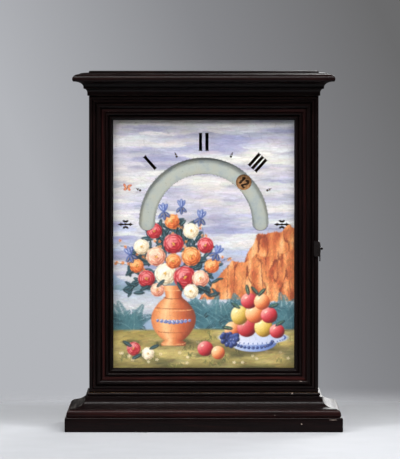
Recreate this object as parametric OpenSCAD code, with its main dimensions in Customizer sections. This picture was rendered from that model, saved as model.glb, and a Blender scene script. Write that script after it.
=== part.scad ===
// Night clock in an architectural wooden case.
// A lamp inside shines through a pierced hour that travels along an arc in the painted front.
// Millimetres. X to the right, Y to the back, Z up, origin at the middle of the foot.

/* [Case] */
// Height of the whole clock
total_h = 450; // [440:1:480]
// Width of the body over its sides
body_w = 287; // [280:1:310]
// Depth of the body, from the face of the door to the back
body_d = 140; // [138:1:160]
// Height of the base, up to the foot of the door
base_h = 47.3; // [46:0.1:52]
// Height of the cornice, above the door
cornice_h = 31; // [31:0.1:34]
// Thickness of the side panels and the side rails of the base
side_t = 12; // [10:0.5:13]
// Thickness of the board over the body, under the cap board
top_board_t = 16; // [14:0.5:18]
// Thickness of the floor board
floor_t = 12; // [8:0.5:14]
// Thickness of the front and back rails of the base
rail_t = 18; // [17:0.5:20]
// How far the back face lies inside the rear end of the base
rear_set = 4; // [4:0.1:6]

/* [Mouldings] */
// How far the plinth stands out from the body
plinth_out = 30; // [29:0.5:36]
// Height of the plinth
plinth_h = 18; // [15:0.5:19]
// Radius on the long edges of the plinth
plinth_round = 1.6; // [0.5:0.1:3]
// Radius of the convex round above the plinth
ovolo_r = 7; // [6:0.1:7.5]
// How far the tip of the cornice stands out from the body
cornice_out = 20.4; // [20:0.1:24]

/* [Front door] */
// Thickness of the door frame
door_t = 20; // [19:0.5:22]
// Width of the frame members
frame_w = 30; // [29:0.5:32]
// Gap all round the doors
door_gap = 0.3; // [0.2:0.05:0.6]
// Depth of the painted panel's face below the face of the door
panel_set = 14.8; // [12:0.1:15.5]
// Thickness of the painted metal panel
panel_t = 1.2; // [0.8:0.1:1.6]
// How far the panel reaches into the frame
rebate_w = 5; // [4:0.1:6]
// Radius of the hidden pivot pins in the left stile
pivot_r = 2; // [1.5:0.1:2.5]
// Distance of the pivot axis from the edge and the back of the stile
pivot_in = 5.5; // [5:0.1:6.5]
// Length of a pivot pin in the wood on each side of the gap
pivot_l = 10; // [6:0.5:14]

/* [Latch] */
// Height of the latch above the foot of the door
latch_rise = 180.2; // [120:0.1:240]
// Height of the latch plate
latch_plate_h = 19; // [16:0.5:24]
// Thickness of the latch plate
latch_plate_t = 1.2; // [0.8:0.1:1.6]
// Distance from the latch pivot to the keeper pin
latch_reach = 13; // [12.5:0.1:15]
// Radius of the keeper pin and of the latch pivot
latch_pin_r = 1.1; // [0.9:0.05:1.3]

/* [Dial] */
// Height of the dial's centre above the foot of the door
dial_rise = 213.1; // [205:0.1:215]
// Radius of the middle of the arc
slot_r = 71; // [70:0.1:73]
// Width of the arc
slot_w = 20; // [18:0.1:20.4]
// Radius of the middle of the quarter numerals
quarter_r = 100.8; // [100:0.1:103]
// Length of the bars of the quarter numerals
quarter_l = 21; // [18:0.1:22]
// Width of the bars of the quarter numerals
quarter_bar = 3.7; // [3:0.1:4.2]
// Angle of the first and third quarter from the vertical
quarter_a = 42; // [38:0.5:46]
// Radius of the small pierced marks between the quarters
mark_r = 91.5; // [90:0.1:93]
// Distance of the pierced side ornaments from the middle
ornament_x = 98; // [96:0.1:100]
// Length of the pierced side ornaments
ornament_l = 18.5; // [16:0.1:20]

/* [Hour discs] */
// Radius of the carrier disc
carrier_r = 85; // [84:0.1:87]
// Thickness of the carrier disc
carrier_t = 1; // [0.8:0.1:1.2]
// Radius of the two hour apertures
aperture_r = 9.85; // [9:0.05:10]
// Distance of the hour discs' studs from the dial's centre
planet_r = 51; // [50:0.1:53]
// Radius of an hour disc
hour_r = 30.5; // [30:0.1:31.5]
// Thickness of an hour disc
hour_t = 0.8; // [0.6:0.1:1]
// Thickness of a star wheel
star_t = 1.5; // [1.2:0.1:1.8]
// Points of a star wheel
star_points = 12; // [12:12:12]
// Outer radius of a star wheel
star_r = 12; // [11:0.1:12.5]
// Height of a pierced hour numeral
digit_h = 10.4; // [9:0.1:11.5]
// Angle of the visible aperture from the vertical
hour_angle = 45; // [30:1:60]

/* [Movement] */
// Width of the plates
plate_w = 110; // [108:1:116]
// Height of the plates
plate_h = 168; // [166:1:176]
// Thickness of the plates
plate_t = 2; // [1.6:0.1:2.4]
// Distance between the plates
plate_gap = 38; // [38:0.5:42]
// Radius of the pillars
pillar_r = 4; // [3:0.1:5]
// Module of the great wheel and its pinion
great_m = 0.7; // [0.68:0.01:0.72]
// Module of the other wheels
fine_m = 0.5; // [0.49:0.005:0.51]
// Teeth of every wheel
wheel_z = 84; // [78:6:90]
// Leaves of every pinion
pinion_z = 12; // [12:1:12]
// Thickness of the great wheel
great_t = 3; // [2:0.1:3.4]
// Thickness of the other wheels
wheel_t = 1.5; // [1:0.1:1.8]
// Radius of the two-hour arbor
arbor_r = 2; // [1.6:0.1:2.2]
// Radius of the thinner arbors
thin_r = 1.5; // [1:0.1:1.6]
// Radius of the arbors' pivots
tip_r = 1; // [0.7:0.05:1.2]
// Running clearance of a pivot in its hole
run_gap = 0.05; // [0.03:0.01:0.08]
// Radius of the barrel
barrel_r = 26; // [24:0.1:26.2]
// Length of the barrel
barrel_l = 18; // [16:0.1:18.5]
// Wall of the barrel
barrel_wall = 1.5; // [1:0.1:2]
// Radius of the winding arbor
wind_r = 3; // [2.6:0.1:3.2]
// Teeth of the ratchet wheel
ratchet_z = 24; // [24:24:24]
// Outer radius of the ratchet wheel
ratchet_r = 8; // [7:0.1:8.2]

/* [Escapement] */
// Teeth of the escape wheel
escape_z = 30; // [30:1:30]
// Outer radius of the escape wheel
escape_r = 15; // [14.5:0.1:15.2]
// Distance from the escape arbor to the pallet arbor
pallet_rise = 19; // [18.8:0.1:19.4]
// Length of the pendulum, to the middle of the bob
pendulum_l = 122; // [115:1:126]
// Radius of the pendulum bob
bob_r = 12; // [10:0.5:14]
// Thickness of the pendulum bob
bob_t = 6; // [4:0.5:7]

/* [Lamp] */
// Radius of the lamp's oil reservoir
lamp_r = 18; // [15:0.5:18.5]
// Height of the oil reservoir
lamp_h = 20; // [16:0.5:26]
// Height of the lamp shelf's underside above the foot of the door
shelf_rise = 230.7; // [228:0.1:236]
// Thickness of the lamp shelf
shelf_t = 6; // [5:0.5:8]
// Radius of the reflector
reflector_r = 30; // [26:0.5:32]
// Radius of the chimney pipe
pipe_r = 18; // [14:0.5:20]

/* [Hidden] */

// Overshoot of a cutting shape, and the clearance of pieces that fit together without moving
eps = 0.5;
fit_gap = 0.03;
$fn = 64;

// Colours
ebony = "#241d1b";
pine = "#8a6a45";
brass = "#b08d4a";
steel = "#6f7276";
iron = "#3a3633";
tin = "#a9abad";

// Main places
half_w = body_w / 2;
front_y = (plinth_out - body_d) / 2;
rear_y = front_y + body_d;
back_y = rear_y - rear_set;
cornice_z = total_h - cornice_h;
inner_x = half_w - side_t;
door_z0 = base_h + door_gap;
door_z1 = cornice_z - door_gap;
door_h = door_z1 - door_z0;
door_back = front_y + door_t;
panel_side_y = door_back + door_gap;
cap_z = cornice_z + top_board_t;

// Stack behind the painted panel, from front to back
panel_y = front_y + panel_set;
disc_y = panel_y + panel_t + 1.8;
disc_back = disc_y + carrier_t;
hour_y = disc_back + 0.5;
star_y = hour_y + hour_t;
star_back = star_y + star_t;
plate_y = disc_back + 8.2;
plate_in = plate_y + plate_t;
back_plate_y = plate_in + plate_gap;
back_plate_rear = back_plate_y + plate_t;

// Dial and movement centres in the plane X, Z
dial = [0, base_h + dial_rise];
function polar(r, a) = r * [cos(a), sin(a)];
great_step = great_m * (wheel_z + pinion_z) / 2;
fine_step = fine_m * (wheel_z + pinion_z) / 2;
barrel_a = 224.4;
second_a = -23.6;
third_a = 245.4;
escape_a = 240;
barrel_c = dial + polar(great_step, barrel_a);
second_c = dial + polar(fine_step, second_a);
third_c = second_c + polar(fine_step, third_a);
escape_c = third_c + polar(fine_step, escape_a);
pallet_c = escape_c + [0, pallet_rise];
even_c = dial + polar(planet_r, 90 - hour_angle);
odd_c = dial - polar(planet_r, 90 - hour_angle);

// Places along Y of the wheels of the movement
great_y = plate_in + 4;
barrel_y = great_y + great_t;
two_hour_y = barrel_y + barrel_l + 2;
second_y = great_y + 10;
third_y = two_hour_y + 5;
escape_y = back_plate_rear + 1.5;
cock_y = back_plate_rear + 8;
cock_t = 2;
pendulum_y = cock_y + cock_t + 2;

// Plates stand on the seat board
plate_drop = 136.4;
plate_z0 = dial.y - plate_drop;
plate_z1 = plate_z0 + plate_h;
plate_corner = 14;
seat_t = 12;
seat_lip = 2;
seat_y0 = plate_y - seat_lip;
seat_y1 = back_plate_rear;
pillar_in = 7;
pillar_tip_r = 2;
shelf_z = base_h + shelf_rise;
shelf_y0 = back_plate_rear + 6;
shelf_d = 40;
lamp_y = shelf_y0 + shelf_d / 2;
lamp_z = shelf_z + shelf_t;

// Phases that put the teeth in mesh at rest
function mesh_phase(line_a, phase, z1, z2) =
    line_a + 180 - (phase - line_a) * z1 / z2 - 180 / z2;
hour_phase = 90;
great_phase = mesh_phase(barrel_a, hour_phase, pinion_z, wheel_z);
second_phase = mesh_phase(second_a, hour_phase, wheel_z, pinion_z);
third_phase = mesh_phase(third_a, second_phase, wheel_z, pinion_z);
escape_pinion_phase = mesh_phase(escape_a, third_phase, wheel_z, pinion_z);

// Points on an ellipse, from angle a0 to a1
function arc(cx, cy, rx, ry, a0, a1, n = 8) =
    [for (i = [0 : n]) let (a = a0 + (a1 - a0) * i / n) [cx + rx * cos(a), cy + ry * sin(a)]];

// An outline in the plane X, Z made solid from y0 to y1
module slab(y0, y1) {
    translate([0, y1, 0]) rotate([90, 0, 0]) linear_extrude(height = y1 - y0) children();
}

// A turned solid along Y at a point of the plane X, Z
module rod(c, y0, y1, r, facets = 0) {
    translate([c.x, y1, c.y]) rotate([90, 0, 0])
        cylinder(h = y1 - y0, r = r, $fn = facets > 0 ? facets : $fn);
}

// A block from its lowest to its highest corner
module block(low, high) {
    translate(low) cube(high - low);
}

// Mouldings round the front and the sides of the case

// An outline of offset from the body and height, run along one side of the case and mitred
module run_front(outline, out) {
    intersection() {
        translate([-half_w - out - eps, front_y, 0]) rotate([90, 0, 90])
            linear_extrude(height = body_w + 2 * (out + eps)) mirror([1, 0]) polygon(outline);
        linear_extrude(height = total_h)
            polygon([[-half_w, front_y], [half_w, front_y], [half_w + out, front_y - out],
                [-half_w - out, front_y - out]]);
    }
}

module run_right(outline, out) {
    intersection() {
        translate([half_w, rear_y, 0]) rotate([90, 0, 0])
            linear_extrude(height = body_d + out) polygon(outline);
        linear_extrude(height = total_h)
            polygon([[half_w, front_y], [half_w, rear_y], [half_w + out, rear_y],
                [half_w + out, front_y - out]]);
    }
}

module run_returns(outline, out) {
    run_right(outline, out);
    mirror([1, 0, 0]) run_right(outline, out);
}

plinth_outline = concat([[0, 0]],
    arc(plinth_out - plinth_round, plinth_round, plinth_round, plinth_round, -90, 0, 5),
    arc(plinth_out - plinth_round, plinth_h - plinth_round, plinth_round, plinth_round, 0, 90, 5),
    [[0, plinth_h]]);

// Ovolo, cove, fillet and bead of the base, from the plinth up
ovolo_out = plinth_out - 2.1;
ovolo_c = [ovolo_out - ovolo_r, plinth_h + 3.5];
cove_foot = [ovolo_c.x + ovolo_r * cos(72), ovolo_c.y + ovolo_r * sin(72) + 0.4];
fillet_out = 5;
bead_r = 1.9;
cove_top = base_h - 7.3;
base_outline = concat([[0, plinth_h], [ovolo_out - 1.3, plinth_h]],
    arc(ovolo_c.x, ovolo_c.y, ovolo_r, ovolo_r, -16, 72, 10),
    arc(cove_foot.x, cove_top, cove_foot.x - fillet_out, cove_top - cove_foot.y, 270, 180, 12),
    [[fillet_out, base_h - 4.8], [1.2, base_h - 4.1]],
    arc(0.6, base_h - bead_r, bead_r, bead_r, -80, 90, 8), [[0, base_h]]);

// Cornice from the foot up: cavetto, fillet, cove and ovolo
cyma_out = 6.7;
crown_z = total_h - 9.8;
cornice_outline = concat([[0, cornice_z], [2, cornice_z + 0.5]],
    arc(6.2, cornice_z + 4, 4.2, 5, 180, 90, 6), [[cyma_out, cornice_z + 9.4]],
    arc(cornice_out - 2.2, cornice_z + 11, cornice_out - 2.2 - cyma_out, 7, 180, 90, 10),
    [[cornice_out - 0.9, cornice_z + 18.2]],
    arc(cornice_out - 8, crown_z, 8, 6, -12, 90, 12),
    [[cornice_out - 10.4, total_h - 2.6], [2, total_h - 2.2], [0, total_h - 2.2]]);

module plinth_front() { color(ebony) run_front(plinth_outline, plinth_out); }
module plinth_returns() { color(ebony) run_returns(plinth_outline, plinth_out); }
module base_moulding_front() { color(ebony) run_front(base_outline, plinth_out); }
module base_moulding_returns() { color(ebony) run_returns(base_outline, plinth_out); }
module cornice_front() { color(ebony) run_front(cornice_outline, cornice_out); }
module cornice_returns() { color(ebony) run_returns(cornice_outline, cornice_out); }

// Carcass

pivot_c = [-half_w + pivot_in, door_back - pivot_in];

module base_frame() {
    color(pine) {
        difference() {
            block([-half_w, front_y, 0], [half_w, front_y + rail_t, base_h]);
            translate([pivot_c.x, pivot_c.y, base_h - pivot_l])
                cylinder(h = pivot_l + eps, r = pivot_r + run_gap);
        }
        for (side = [-1, 1])
            block([min(side * inner_x, side * half_w), front_y + rail_t, 0],
                [max(side * inner_x, side * half_w), rear_y, base_h]);
        block([-inner_x, rear_y - rail_t, 0], [inner_x, rear_y, base_h]);
    }
}

module floor_board() {
    color(pine) block([-inner_x, front_y + rail_t, base_h - floor_t], [inner_x, rear_y - rail_t, base_h]);
}

module side_panel_right() {
    color(ebony) difference() {
        block([inner_x, panel_side_y, base_h], [half_w, back_y, cornice_z]);
        rotate([0, 90, 0]) translate([-latch_z, keeper_y, half_w - screw_l])
            cylinder(h = screw_l + eps, r = latch_pin_r + fit_gap);
        rod(button_c, back_y - screw_l - eps, back_y + eps, latch_pin_r + fit_gap);
    }
}

module side_panel_left() {
    color(ebony) block([-half_w, panel_side_y, base_h], [-inner_x, back_y, cornice_z]);
}

module top_board() {
    color(pine) difference() {
        block([-half_w, front_y, cornice_z], [half_w, rear_y, cap_z]);
        translate([0, lamp_y, cornice_z - eps]) cylinder(h = top_board_t + 2 * eps, r = pipe_r + 0.3);
        translate([pivot_c.x, pivot_c.y, cornice_z - eps])
            cylinder(h = pivot_l + eps, r = pivot_r + run_gap);
    }
}

grille_r = pipe_r + 4;
grille_t = 1.5;

module cap_board() {
    color(ebony) difference() {
        block([-half_w, front_y, cap_z], [half_w, rear_y, total_h]);
        translate([0, lamp_y, cap_z - eps]) cylinder(h = total_h, r = pipe_r + 0.3);
        translate([0, lamp_y, total_h - grille_t]) cylinder(h = grille_t + eps, r = grille_r + 0.15);
    }
}

grille_hole_r = 2;
grille_pitch = 5.6;

module vent_grille() {
    color(iron) translate([0, lamp_y, total_h - grille_t]) difference() {
        cylinder(h = grille_t, r = grille_r);
        for (i = [-3 : 3], j = [-3 : 3]) {
            hole = [grille_pitch * (i + j / 2), grille_pitch * j * sin(60)];
            if (norm(hole) < pipe_r - grille_hole_r)
                translate([hole.x, hole.y, -eps])
                    cylinder(h = grille_t + 2 * eps, r = grille_hole_r, $fn = 24);
        }
    }
}

// Funnel of sheet metal over the flame, with its pipe up to the grille
hood_r = 28;
hood_h = 22;
sheet_t = 0.8;

module smoke_hood() {
    flange_z = cornice_z - 1;
    color(tin) translate([0, lamp_y, 0]) difference() {
        union() {
            translate([0, 0, flange_z - hood_h]) cylinder(h = hood_h, r1 = hood_r, r2 = pipe_r);
            translate([0, 0, flange_z - 0.01]) cylinder(h = 1.01, r = pipe_r + 8);
            translate([0, 0, flange_z]) cylinder(h = total_h - grille_t - flange_z, r = pipe_r);
        }
        translate([0, 0, flange_z - hood_h - 0.01])
            cylinder(h = hood_h + 0.01, r1 = hood_r - sheet_t, r2 = pipe_r - sheet_t);
        translate([0, 0, flange_z - 0.01]) cylinder(h = total_h, r = pipe_r - sheet_t);
    }
}

cleat = 10;

module seat_board() {
    color(pine) difference() {
        block([-inner_x, seat_y0, plate_z0 - seat_t], [inner_x, seat_y1, plate_z0]);
        for (side = [-1, 1])
            translate([side * (plate_w / 2 - pillar_in), plate_in + plate_gap / 2, plate_z0 - seat_t - eps])
                cylinder(h = seat_t + 2 * eps, r = seat_bolt_r + 0.2);
    }
}

module lamp_shelf() {
    color(pine) block([-inner_x, shelf_y0, shelf_z], [inner_x, shelf_y0 + shelf_d, shelf_z + shelf_t]);
}

module case_cleats() {
    color(pine) for (side = [-1, 1]) {
        x0 = min(side * inner_x, side * (inner_x - cleat));
        block([x0, seat_y0, plate_z0 - seat_t - cleat], [x0 + cleat, seat_y1, plate_z0 - seat_t]);
        block([x0, shelf_y0, shelf_z - cleat], [x0 + cleat, shelf_y0 + shelf_d, shelf_z]);
    }
}

// Oil lamp

neck_r = 6;
neck_h = 8;
wick_r = 2.5;

module lamp_reservoir() {
    color(tin) translate([0, lamp_y, lamp_z]) rotate_extrude() polygon(concat(
        [[0, 0], [lamp_r - 2, 0], [lamp_r - 2, 1.5]],
        arc(lamp_r - 5, 6, 5, 4.5, -60, 0, 4),
        arc(lamp_r - 5, lamp_h - 5, 5, 5, 0, 90, 6),
        [[neck_r + 1, lamp_h + 1], [neck_r, lamp_h + 2], [0, lamp_h + 2]]));
}

module lamp_burner() {
    color(brass) translate([0, lamp_y, lamp_z + lamp_h + 2]) difference() {
        rotate_extrude() polygon([[0, 0], [neck_r + 2, 0], [neck_r + 2, 2], [neck_r, 3],
            [neck_r, neck_h - 1], [neck_r - 1, neck_h], [wick_r + 1, neck_h], [wick_r + 1, neck_h + 5],
            [0, neck_h + 5]]);
        translate([0, 0, 2]) cylinder(h = neck_h + 5, r = wick_r + fit_gap);
    }
    color("#d8d0bd") translate([0, lamp_y, lamp_z + lamp_h + 4 + fit_gap])
        cylinder(h = neck_h + 6, r = wick_r);
}

// Shallow polished dish behind the flame, on a stem from the shelf
module lamp_reflector() {
    dish_depth = 8;
    sphere_r = (reflector_r * reflector_r + dish_depth * dish_depth) / (2 * dish_depth);
    edge_a = asin(reflector_r / sphere_r);
    dish_z = lamp_z + lamp_h + reflector_r + 5;
    dish_y = shelf_y0 + shelf_d - 1;
    color(tin) {
        translate([0, dish_y, dish_z]) rotate([90, 0, 0]) rotate_extrude() polygon(concat(
            [for (i = [0 : 10]) let (a = edge_a * i / 10)
                [sphere_r * sin(a), sphere_r * (1 - cos(a))]],
            [for (i = [10 : -1 : 0]) let (a = edge_a * i / 10)
                [(sphere_r - sheet_t) * sin(a), sphere_r - (sphere_r - sheet_t) * cos(a)]]));
        block([-3, dish_y - sheet_t / 2, lamp_z], [3, dish_y + sheet_t, dish_z + 4]);
    }
}

// Front door

// Section of a frame member: u from the outer edge, height from the back of the door.
// Rounded edge, band, ovolo, sloping band, two beads and the lip over the panel.
lip_u = frame_w;
rebate_u = frame_w - rebate_w;
rebate_face = door_t - panel_set;
frame_outline = concat([[0, 0]],
    arc(2.6, door_t - 2.6, 2.6, 2.6, 180, 60, 6),
    [[4.5, door_t - 2.9], [5.1, door_t - 0.9], [7.7, door_t - 0.9], [8.4, door_t - 3.1]],
    arc(12, door_t - 4.2, 3.2, 4.2, 160, 15, 9),
    [[15.5, door_t - 4.6], [16, door_t - 3.1], [19.6, door_t - 3.9], [20, door_t - 5.5]],
    arc(22, door_t - 5.7, 1.7, 1.9, 170, 10, 7),
    [[24.3, door_t - 7.4]],
    arc(26.7, door_t - 7.5, 1.5, 1.6, 165, 15, 6),
    [[28.5, door_t - 8.9], [lip_u, door_t - 9.6], [lip_u, rebate_face], [rebate_u, rebate_face],
        [rebate_u, 0]]);

// A member along X with mitred ends, u upwards from its outer edge
module frame_member(l) {
    intersection() {
        translate([-l / 2, 0, 0]) rotate([90, 0, 90]) linear_extrude(height = l)
            polygon([for (p = frame_outline) [-p.y, p.x]]);
        rotate([90, 0, 0]) translate([0, 0, -eps]) linear_extrude(height = door_t + 2 * eps)
            polygon([[-l / 2, 0], [l / 2, 0], [l / 2 - frame_w - eps, frame_w + eps],
                [-l / 2 + frame_w + eps, frame_w + eps]]);
    }
}

module door_place(a, reach, l) {
    translate([0, door_back, (door_z0 + door_z1) / 2]) rotate([0, a, 0])
        translate([0, 0, -reach]) frame_member(l);
}

// Room for a pivot pin, and the corner of the stile turned round the pivot
module pivot_corner() {
    translate([pivot_c.x, pivot_c.y, door_z0 - eps]) difference() {
        translate([-pivot_in - eps, 0, 0]) cube([pivot_in + eps, pivot_in + eps, door_h + 2 * eps]);
        translate([0, 0, -eps]) cylinder(h = door_h + 4 * eps, r = pivot_in);
    }
}

module pivot_holes() {
    for (z = [door_z0 - eps, door_z1 - pivot_l])
        translate([pivot_c.x, pivot_c.y, z]) cylinder(h = pivot_l + eps, r = pivot_r + fit_gap);
}

module door_stile_left() {
    color(ebony) difference() {
        door_place(90, half_w, door_h);
        pivot_corner();
        pivot_holes();
    }
}

module door_stile_right() {
    color(ebony) difference() {
        door_place(-90, half_w, door_h);
        rotate([0, 90, 0]) translate([-latch_z, latch_y, half_w - 8])
            cylinder(h = 8 + eps, r = latch_pin_r + fit_gap);
    }
}

module door_rail_top() {
    color(ebony) difference() {
        door_place(180, door_h / 2, body_w);
        pivot_corner();
        pivot_holes();
    }
}

module door_rail_bottom() {
    color(ebony) difference() {
        door_place(0, door_h / 2, body_w);
        pivot_corner();
        pivot_holes();
    }
}

module door_pivots() {
    color(steel) for (z = [[base_h - pivot_l + 0.3, door_z0 + pivot_l - 0.5],
        [door_z1 - pivot_l + 0.5, cornice_z + pivot_l - 0.8]])
        translate([pivot_c.x, pivot_c.y, z.x]) cylinder(h = z.y - z.x, r = pivot_r);
}

// Strips that hold the panel in its rebate
bead_w = 4;

module panel_beads() {
    x1 = half_w - rebate_u - fit_gap;
    z0 = door_z0 + rebate_u + fit_gap;
    z1 = door_z1 - rebate_u - fit_gap;
    y0 = panel_y + panel_t;
    color(pine) {
        for (x = [-x1, x1 - bead_w])
            block([x, y0, z0], [x + bead_w, door_back, z1]);
        for (z = [z0, z1 - bead_w])
            block([-x1 + bead_w, y0, z], [x1 - bead_w, door_back, z + bead_w]);
    }
}

// Pierced outlines of the painted panel, in the plane X, Z about the dial's centre

module arc_slot() {
    difference() {
        circle(r = slot_r + slot_w / 2);
        circle(r = slot_r - slot_w / 2);
        translate([-2 * slot_r, -2 * slot_r]) square([4 * slot_r, 2 * slot_r]);
    }
    for (side = [-1, 1]) translate([side * slot_r, 0]) circle(r = slot_w / 2, $fn = 48);
}

module quarter_bars(n, pitch, l) {
    for (i = [0 : n - 1])
        translate([(i - (n - 1) / 2) * pitch - quarter_bar / 2, quarter_r - l / 2]) square([quarter_bar, l]);
}

// Small pierced arrowhead that points out, over a round dot
module half_quarter_mark() {
    polygon([[-1.3, 0.2], [1.3, 0.2], [0, 3.1]]);
    translate([0, -2.2]) circle(r = 0.9, $fn = 20);
}

// Crescent, open upwards
module crescent(r, w) {
    ro = r + w / 2;
    ri = r - w / 2;
    polygon(concat(arc(0, 0, ro, ro, 200, 340, 8), arc(0, 0.25, ri, ri, 335, 205, 8)));
}

// Spindle with pointed ends and a crescent over and under it
module side_ornament() {
    half = ornament_l / 2;
    polygon([[-half, 0], [-half + 3.4, 1.7], [-half + 4.6, 0.8], [-1.6, 0.6], [0, 1.3], [1.6, 0.6],
        [half - 4.6, 0.8], [half - 3.4, 1.7], [half, 0], [half - 3.4, -1.7], [half - 4.6, -0.8], [1.6, -0.6],
        [0, -1.3], [-1.6, -0.6], [-half + 4.6, -0.8], [-half + 3.4, -1.7]]);
    translate([0, 6]) crescent(3, 1.5);
    translate([0, -6]) rotate(180) crescent(3, 1.5);
}

module piercings() {
    arc_slot();
    quarter_bars(2, 8.1, quarter_l + 1.2);
    rotate(quarter_a) quarter_bars(1, 0, quarter_l);
    rotate(-quarter_a) quarter_bars(3, 5.5, quarter_l - 1);
    for (a = [-63.3, -22.4, 22.4, 63.3]) rotate(a) translate([0, mark_r]) half_quarter_mark();
    for (side = [-1, 1]) translate([side * ornament_x, -2.6]) side_ornament();
}

module painted_panel() {
    color("#8f7a78") difference() {
        block([-half_w + rebate_u + fit_gap, panel_y, door_z0 + rebate_u + fit_gap],
            [half_w - rebate_u - fit_gap, panel_y + panel_t, door_z1 - rebate_u - fit_gap]);
        slab(panel_y - eps, panel_y + panel_t + eps) translate(dial) piercings();
    }
}

// Latch on the right edge of the door: a plate round the corner, a lever with a boss and a ball
latch_z = base_h + latch_rise;
latch_y = door_back - 7;
keeper_y = latch_y + latch_reach;
lever_x = half_w + latch_plate_t + 0.2;
lever_t = 1.4;
lever_w = 4.4;
boss_r = 9.4;
boss_t = 1.8;
boss_edge = 0.4;
ball_r = 1.6;

module latch_plate() {
    color(iron) translate([0, 0, latch_z - latch_plate_h / 2 + 0.2]) difference() {
        union() {
            block([half_w, front_y - latch_plate_t, 0],
                [half_w + latch_plate_t, door_back - 1, latch_plate_h]);
            block([half_w - 5.6, front_y - latch_plate_t, 0], [half_w + 0.01, front_y, latch_plate_h]);
        }
        rotate([0, 90, 0]) translate([-latch_plate_h / 2 + 0.2, latch_y, half_w - eps])
            cylinder(h = latch_plate_t + 2 * eps, r = latch_pin_r + fit_gap);
    }
}

// The lever hangs down at rest, and its hook takes the keeper pin when it is turned to the back
module latch_lever() {
    tip = latch_reach + latch_pin_r + 1.5;
    notch = latch_pin_r + 0.25;
    color(iron) {
        translate([lever_x, latch_y, latch_z]) rotate([90, 0, 90]) linear_extrude(height = lever_t)
            difference() {
                union() {
                    translate([-lever_w / 2, -tip + 1]) square([lever_w, tip - 1]);
                    translate([0, -tip + 1.9]) circle(r = 2.2, $fn = 32);
                }
                translate([0, -latch_reach]) circle(r = notch, $fn = 32);
                translate([0, -latch_reach - notch]) square([lever_w, 2 * notch]);
            }
        translate([half_w - 7, latch_y, latch_z]) rotate([0, 90, 0]) rotate_extrude() polygon(concat(
            [[0, 0], [latch_pin_r, 0], [latch_pin_r, 7 + lever_x - half_w - 0.01]],
            [[latch_pin_r, 7 + lever_x - half_w + lever_t], [0, 7 + lever_x - half_w + lever_t]]));
        translate([lever_x, latch_y, latch_z]) rotate([0, 90, 0]) rotate_extrude() polygon(concat(
            [[0, 0], [boss_r, 0]],
            [for (a = [0 : 15 : 90]) [boss_r * cos(a), boss_edge + (boss_t - boss_edge) * sin(a)]]));
        translate([lever_x + boss_t + ball_r - 0.3, latch_y, latch_z]) sphere(r = ball_r, $fn = 32);
    }
}

// Back door

knuckle_r = rear_set / 2;
hinge_c = [-inner_x + 0.15, rear_y - knuckle_r];
leaf_h = 30;
leaf_w = 9;
leaf_t = 1;
hinge_zs = [door_z0 + 62, door_z1 - 62];
back_door_t = 12;
batten_t = 8;
batten_h = 30;
batten_in = 14;
pin_r = 1;

module back_door_board() {
    color(pine) block([-inner_x + door_gap, back_y - back_door_t, door_z0 + 0.2],
        [inner_x - door_gap - 0.5, back_y, door_z1 - 0.2]);
}

module back_door_battens() {
    color(pine) for (z = hinge_zs)
        block([-inner_x + batten_in, back_y - back_door_t - batten_t, z - batten_h / 2],
            [inner_x - batten_in, back_y - back_door_t, z + batten_h / 2]);
}

// Knuckles of one leaf between two heights
module knuckle(z0, z1) {
    translate([hinge_c.x, hinge_c.y, z0]) difference() {
        cylinder(h = z1 - z0, r = knuckle_r);
        translate([0, 0, -eps]) cylinder(h = z1 - z0 + 2 * eps, r = pin_r + run_gap);
    }
}

module leaf(side, z, spans) {
    x0 = hinge_c.x + side * 1.3;
    x1 = hinge_c.x + side * (leaf_w + 2);
    block([min(x0, x1), back_y, z - leaf_h / 2], [max(x0, x1), back_y + leaf_t, z + leaf_h / 2]);
    for (span = spans) {
        difference() {
            block([min(hinge_c.x, x1), back_y, z + span.x],
                [max(hinge_c.x, x1), back_y + leaf_t, z + span.y]);
            translate([hinge_c.x, hinge_c.y, z + span.x - eps])
                cylinder(h = span.y - span.x + 2 * eps, r = pin_r + run_gap);
        }
        knuckle(z + span.x, z + span.y);
    }
}

module back_hinge_leaves_case() {
    color(brass) for (z = hinge_zs) difference() {
        leaf(-1, z, [[-leaf_h / 2, -5], [5, leaf_h / 2]]);
        translate([hinge_c.x - knuckle_r - 0.2, back_y - eps, z - 5])
            cube([2 * knuckle_r + 0.4, rear_set + 2 * eps, 10]);
    }
    color(steel) for (z = hinge_zs)
        translate([hinge_c.x, hinge_c.y, z - leaf_h / 2]) cylinder(h = leaf_h, r = pin_r);
}

module back_hinge_leaves_door() {
    color(brass) for (z = hinge_zs) difference() {
        leaf(1, z, [[-4.85, 4.85]]);
        for (z0 = [z - leaf_h / 2 - eps, z + 4.85])
            translate([hinge_c.x - 3, back_y - eps, z0])
                cube([3 + knuckle_r + 0.2, rear_set + 2 * eps, leaf_h / 2 - 4.85 + eps]);
    }
}

button_c = [half_w - side_t / 2, base_h + 180];
button_t = 2;
screw_l = 6;

module back_door_button() {
    color(brass) slab(back_y + 0.2, back_y + 0.2 + button_t) translate(button_c) difference() {
        union() {
            circle(r = 4.2);
            translate([-3, 0]) square([6, 13]);
            translate([0, 13]) circle(r = 3, $fn = 32);
        }
        circle(r = latch_pin_r + run_gap);
    }
}

// Screws: the button's, the two that hold the movement to its seat, the cock's, the keeper pin
seat_bolt_r = 2;

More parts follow.
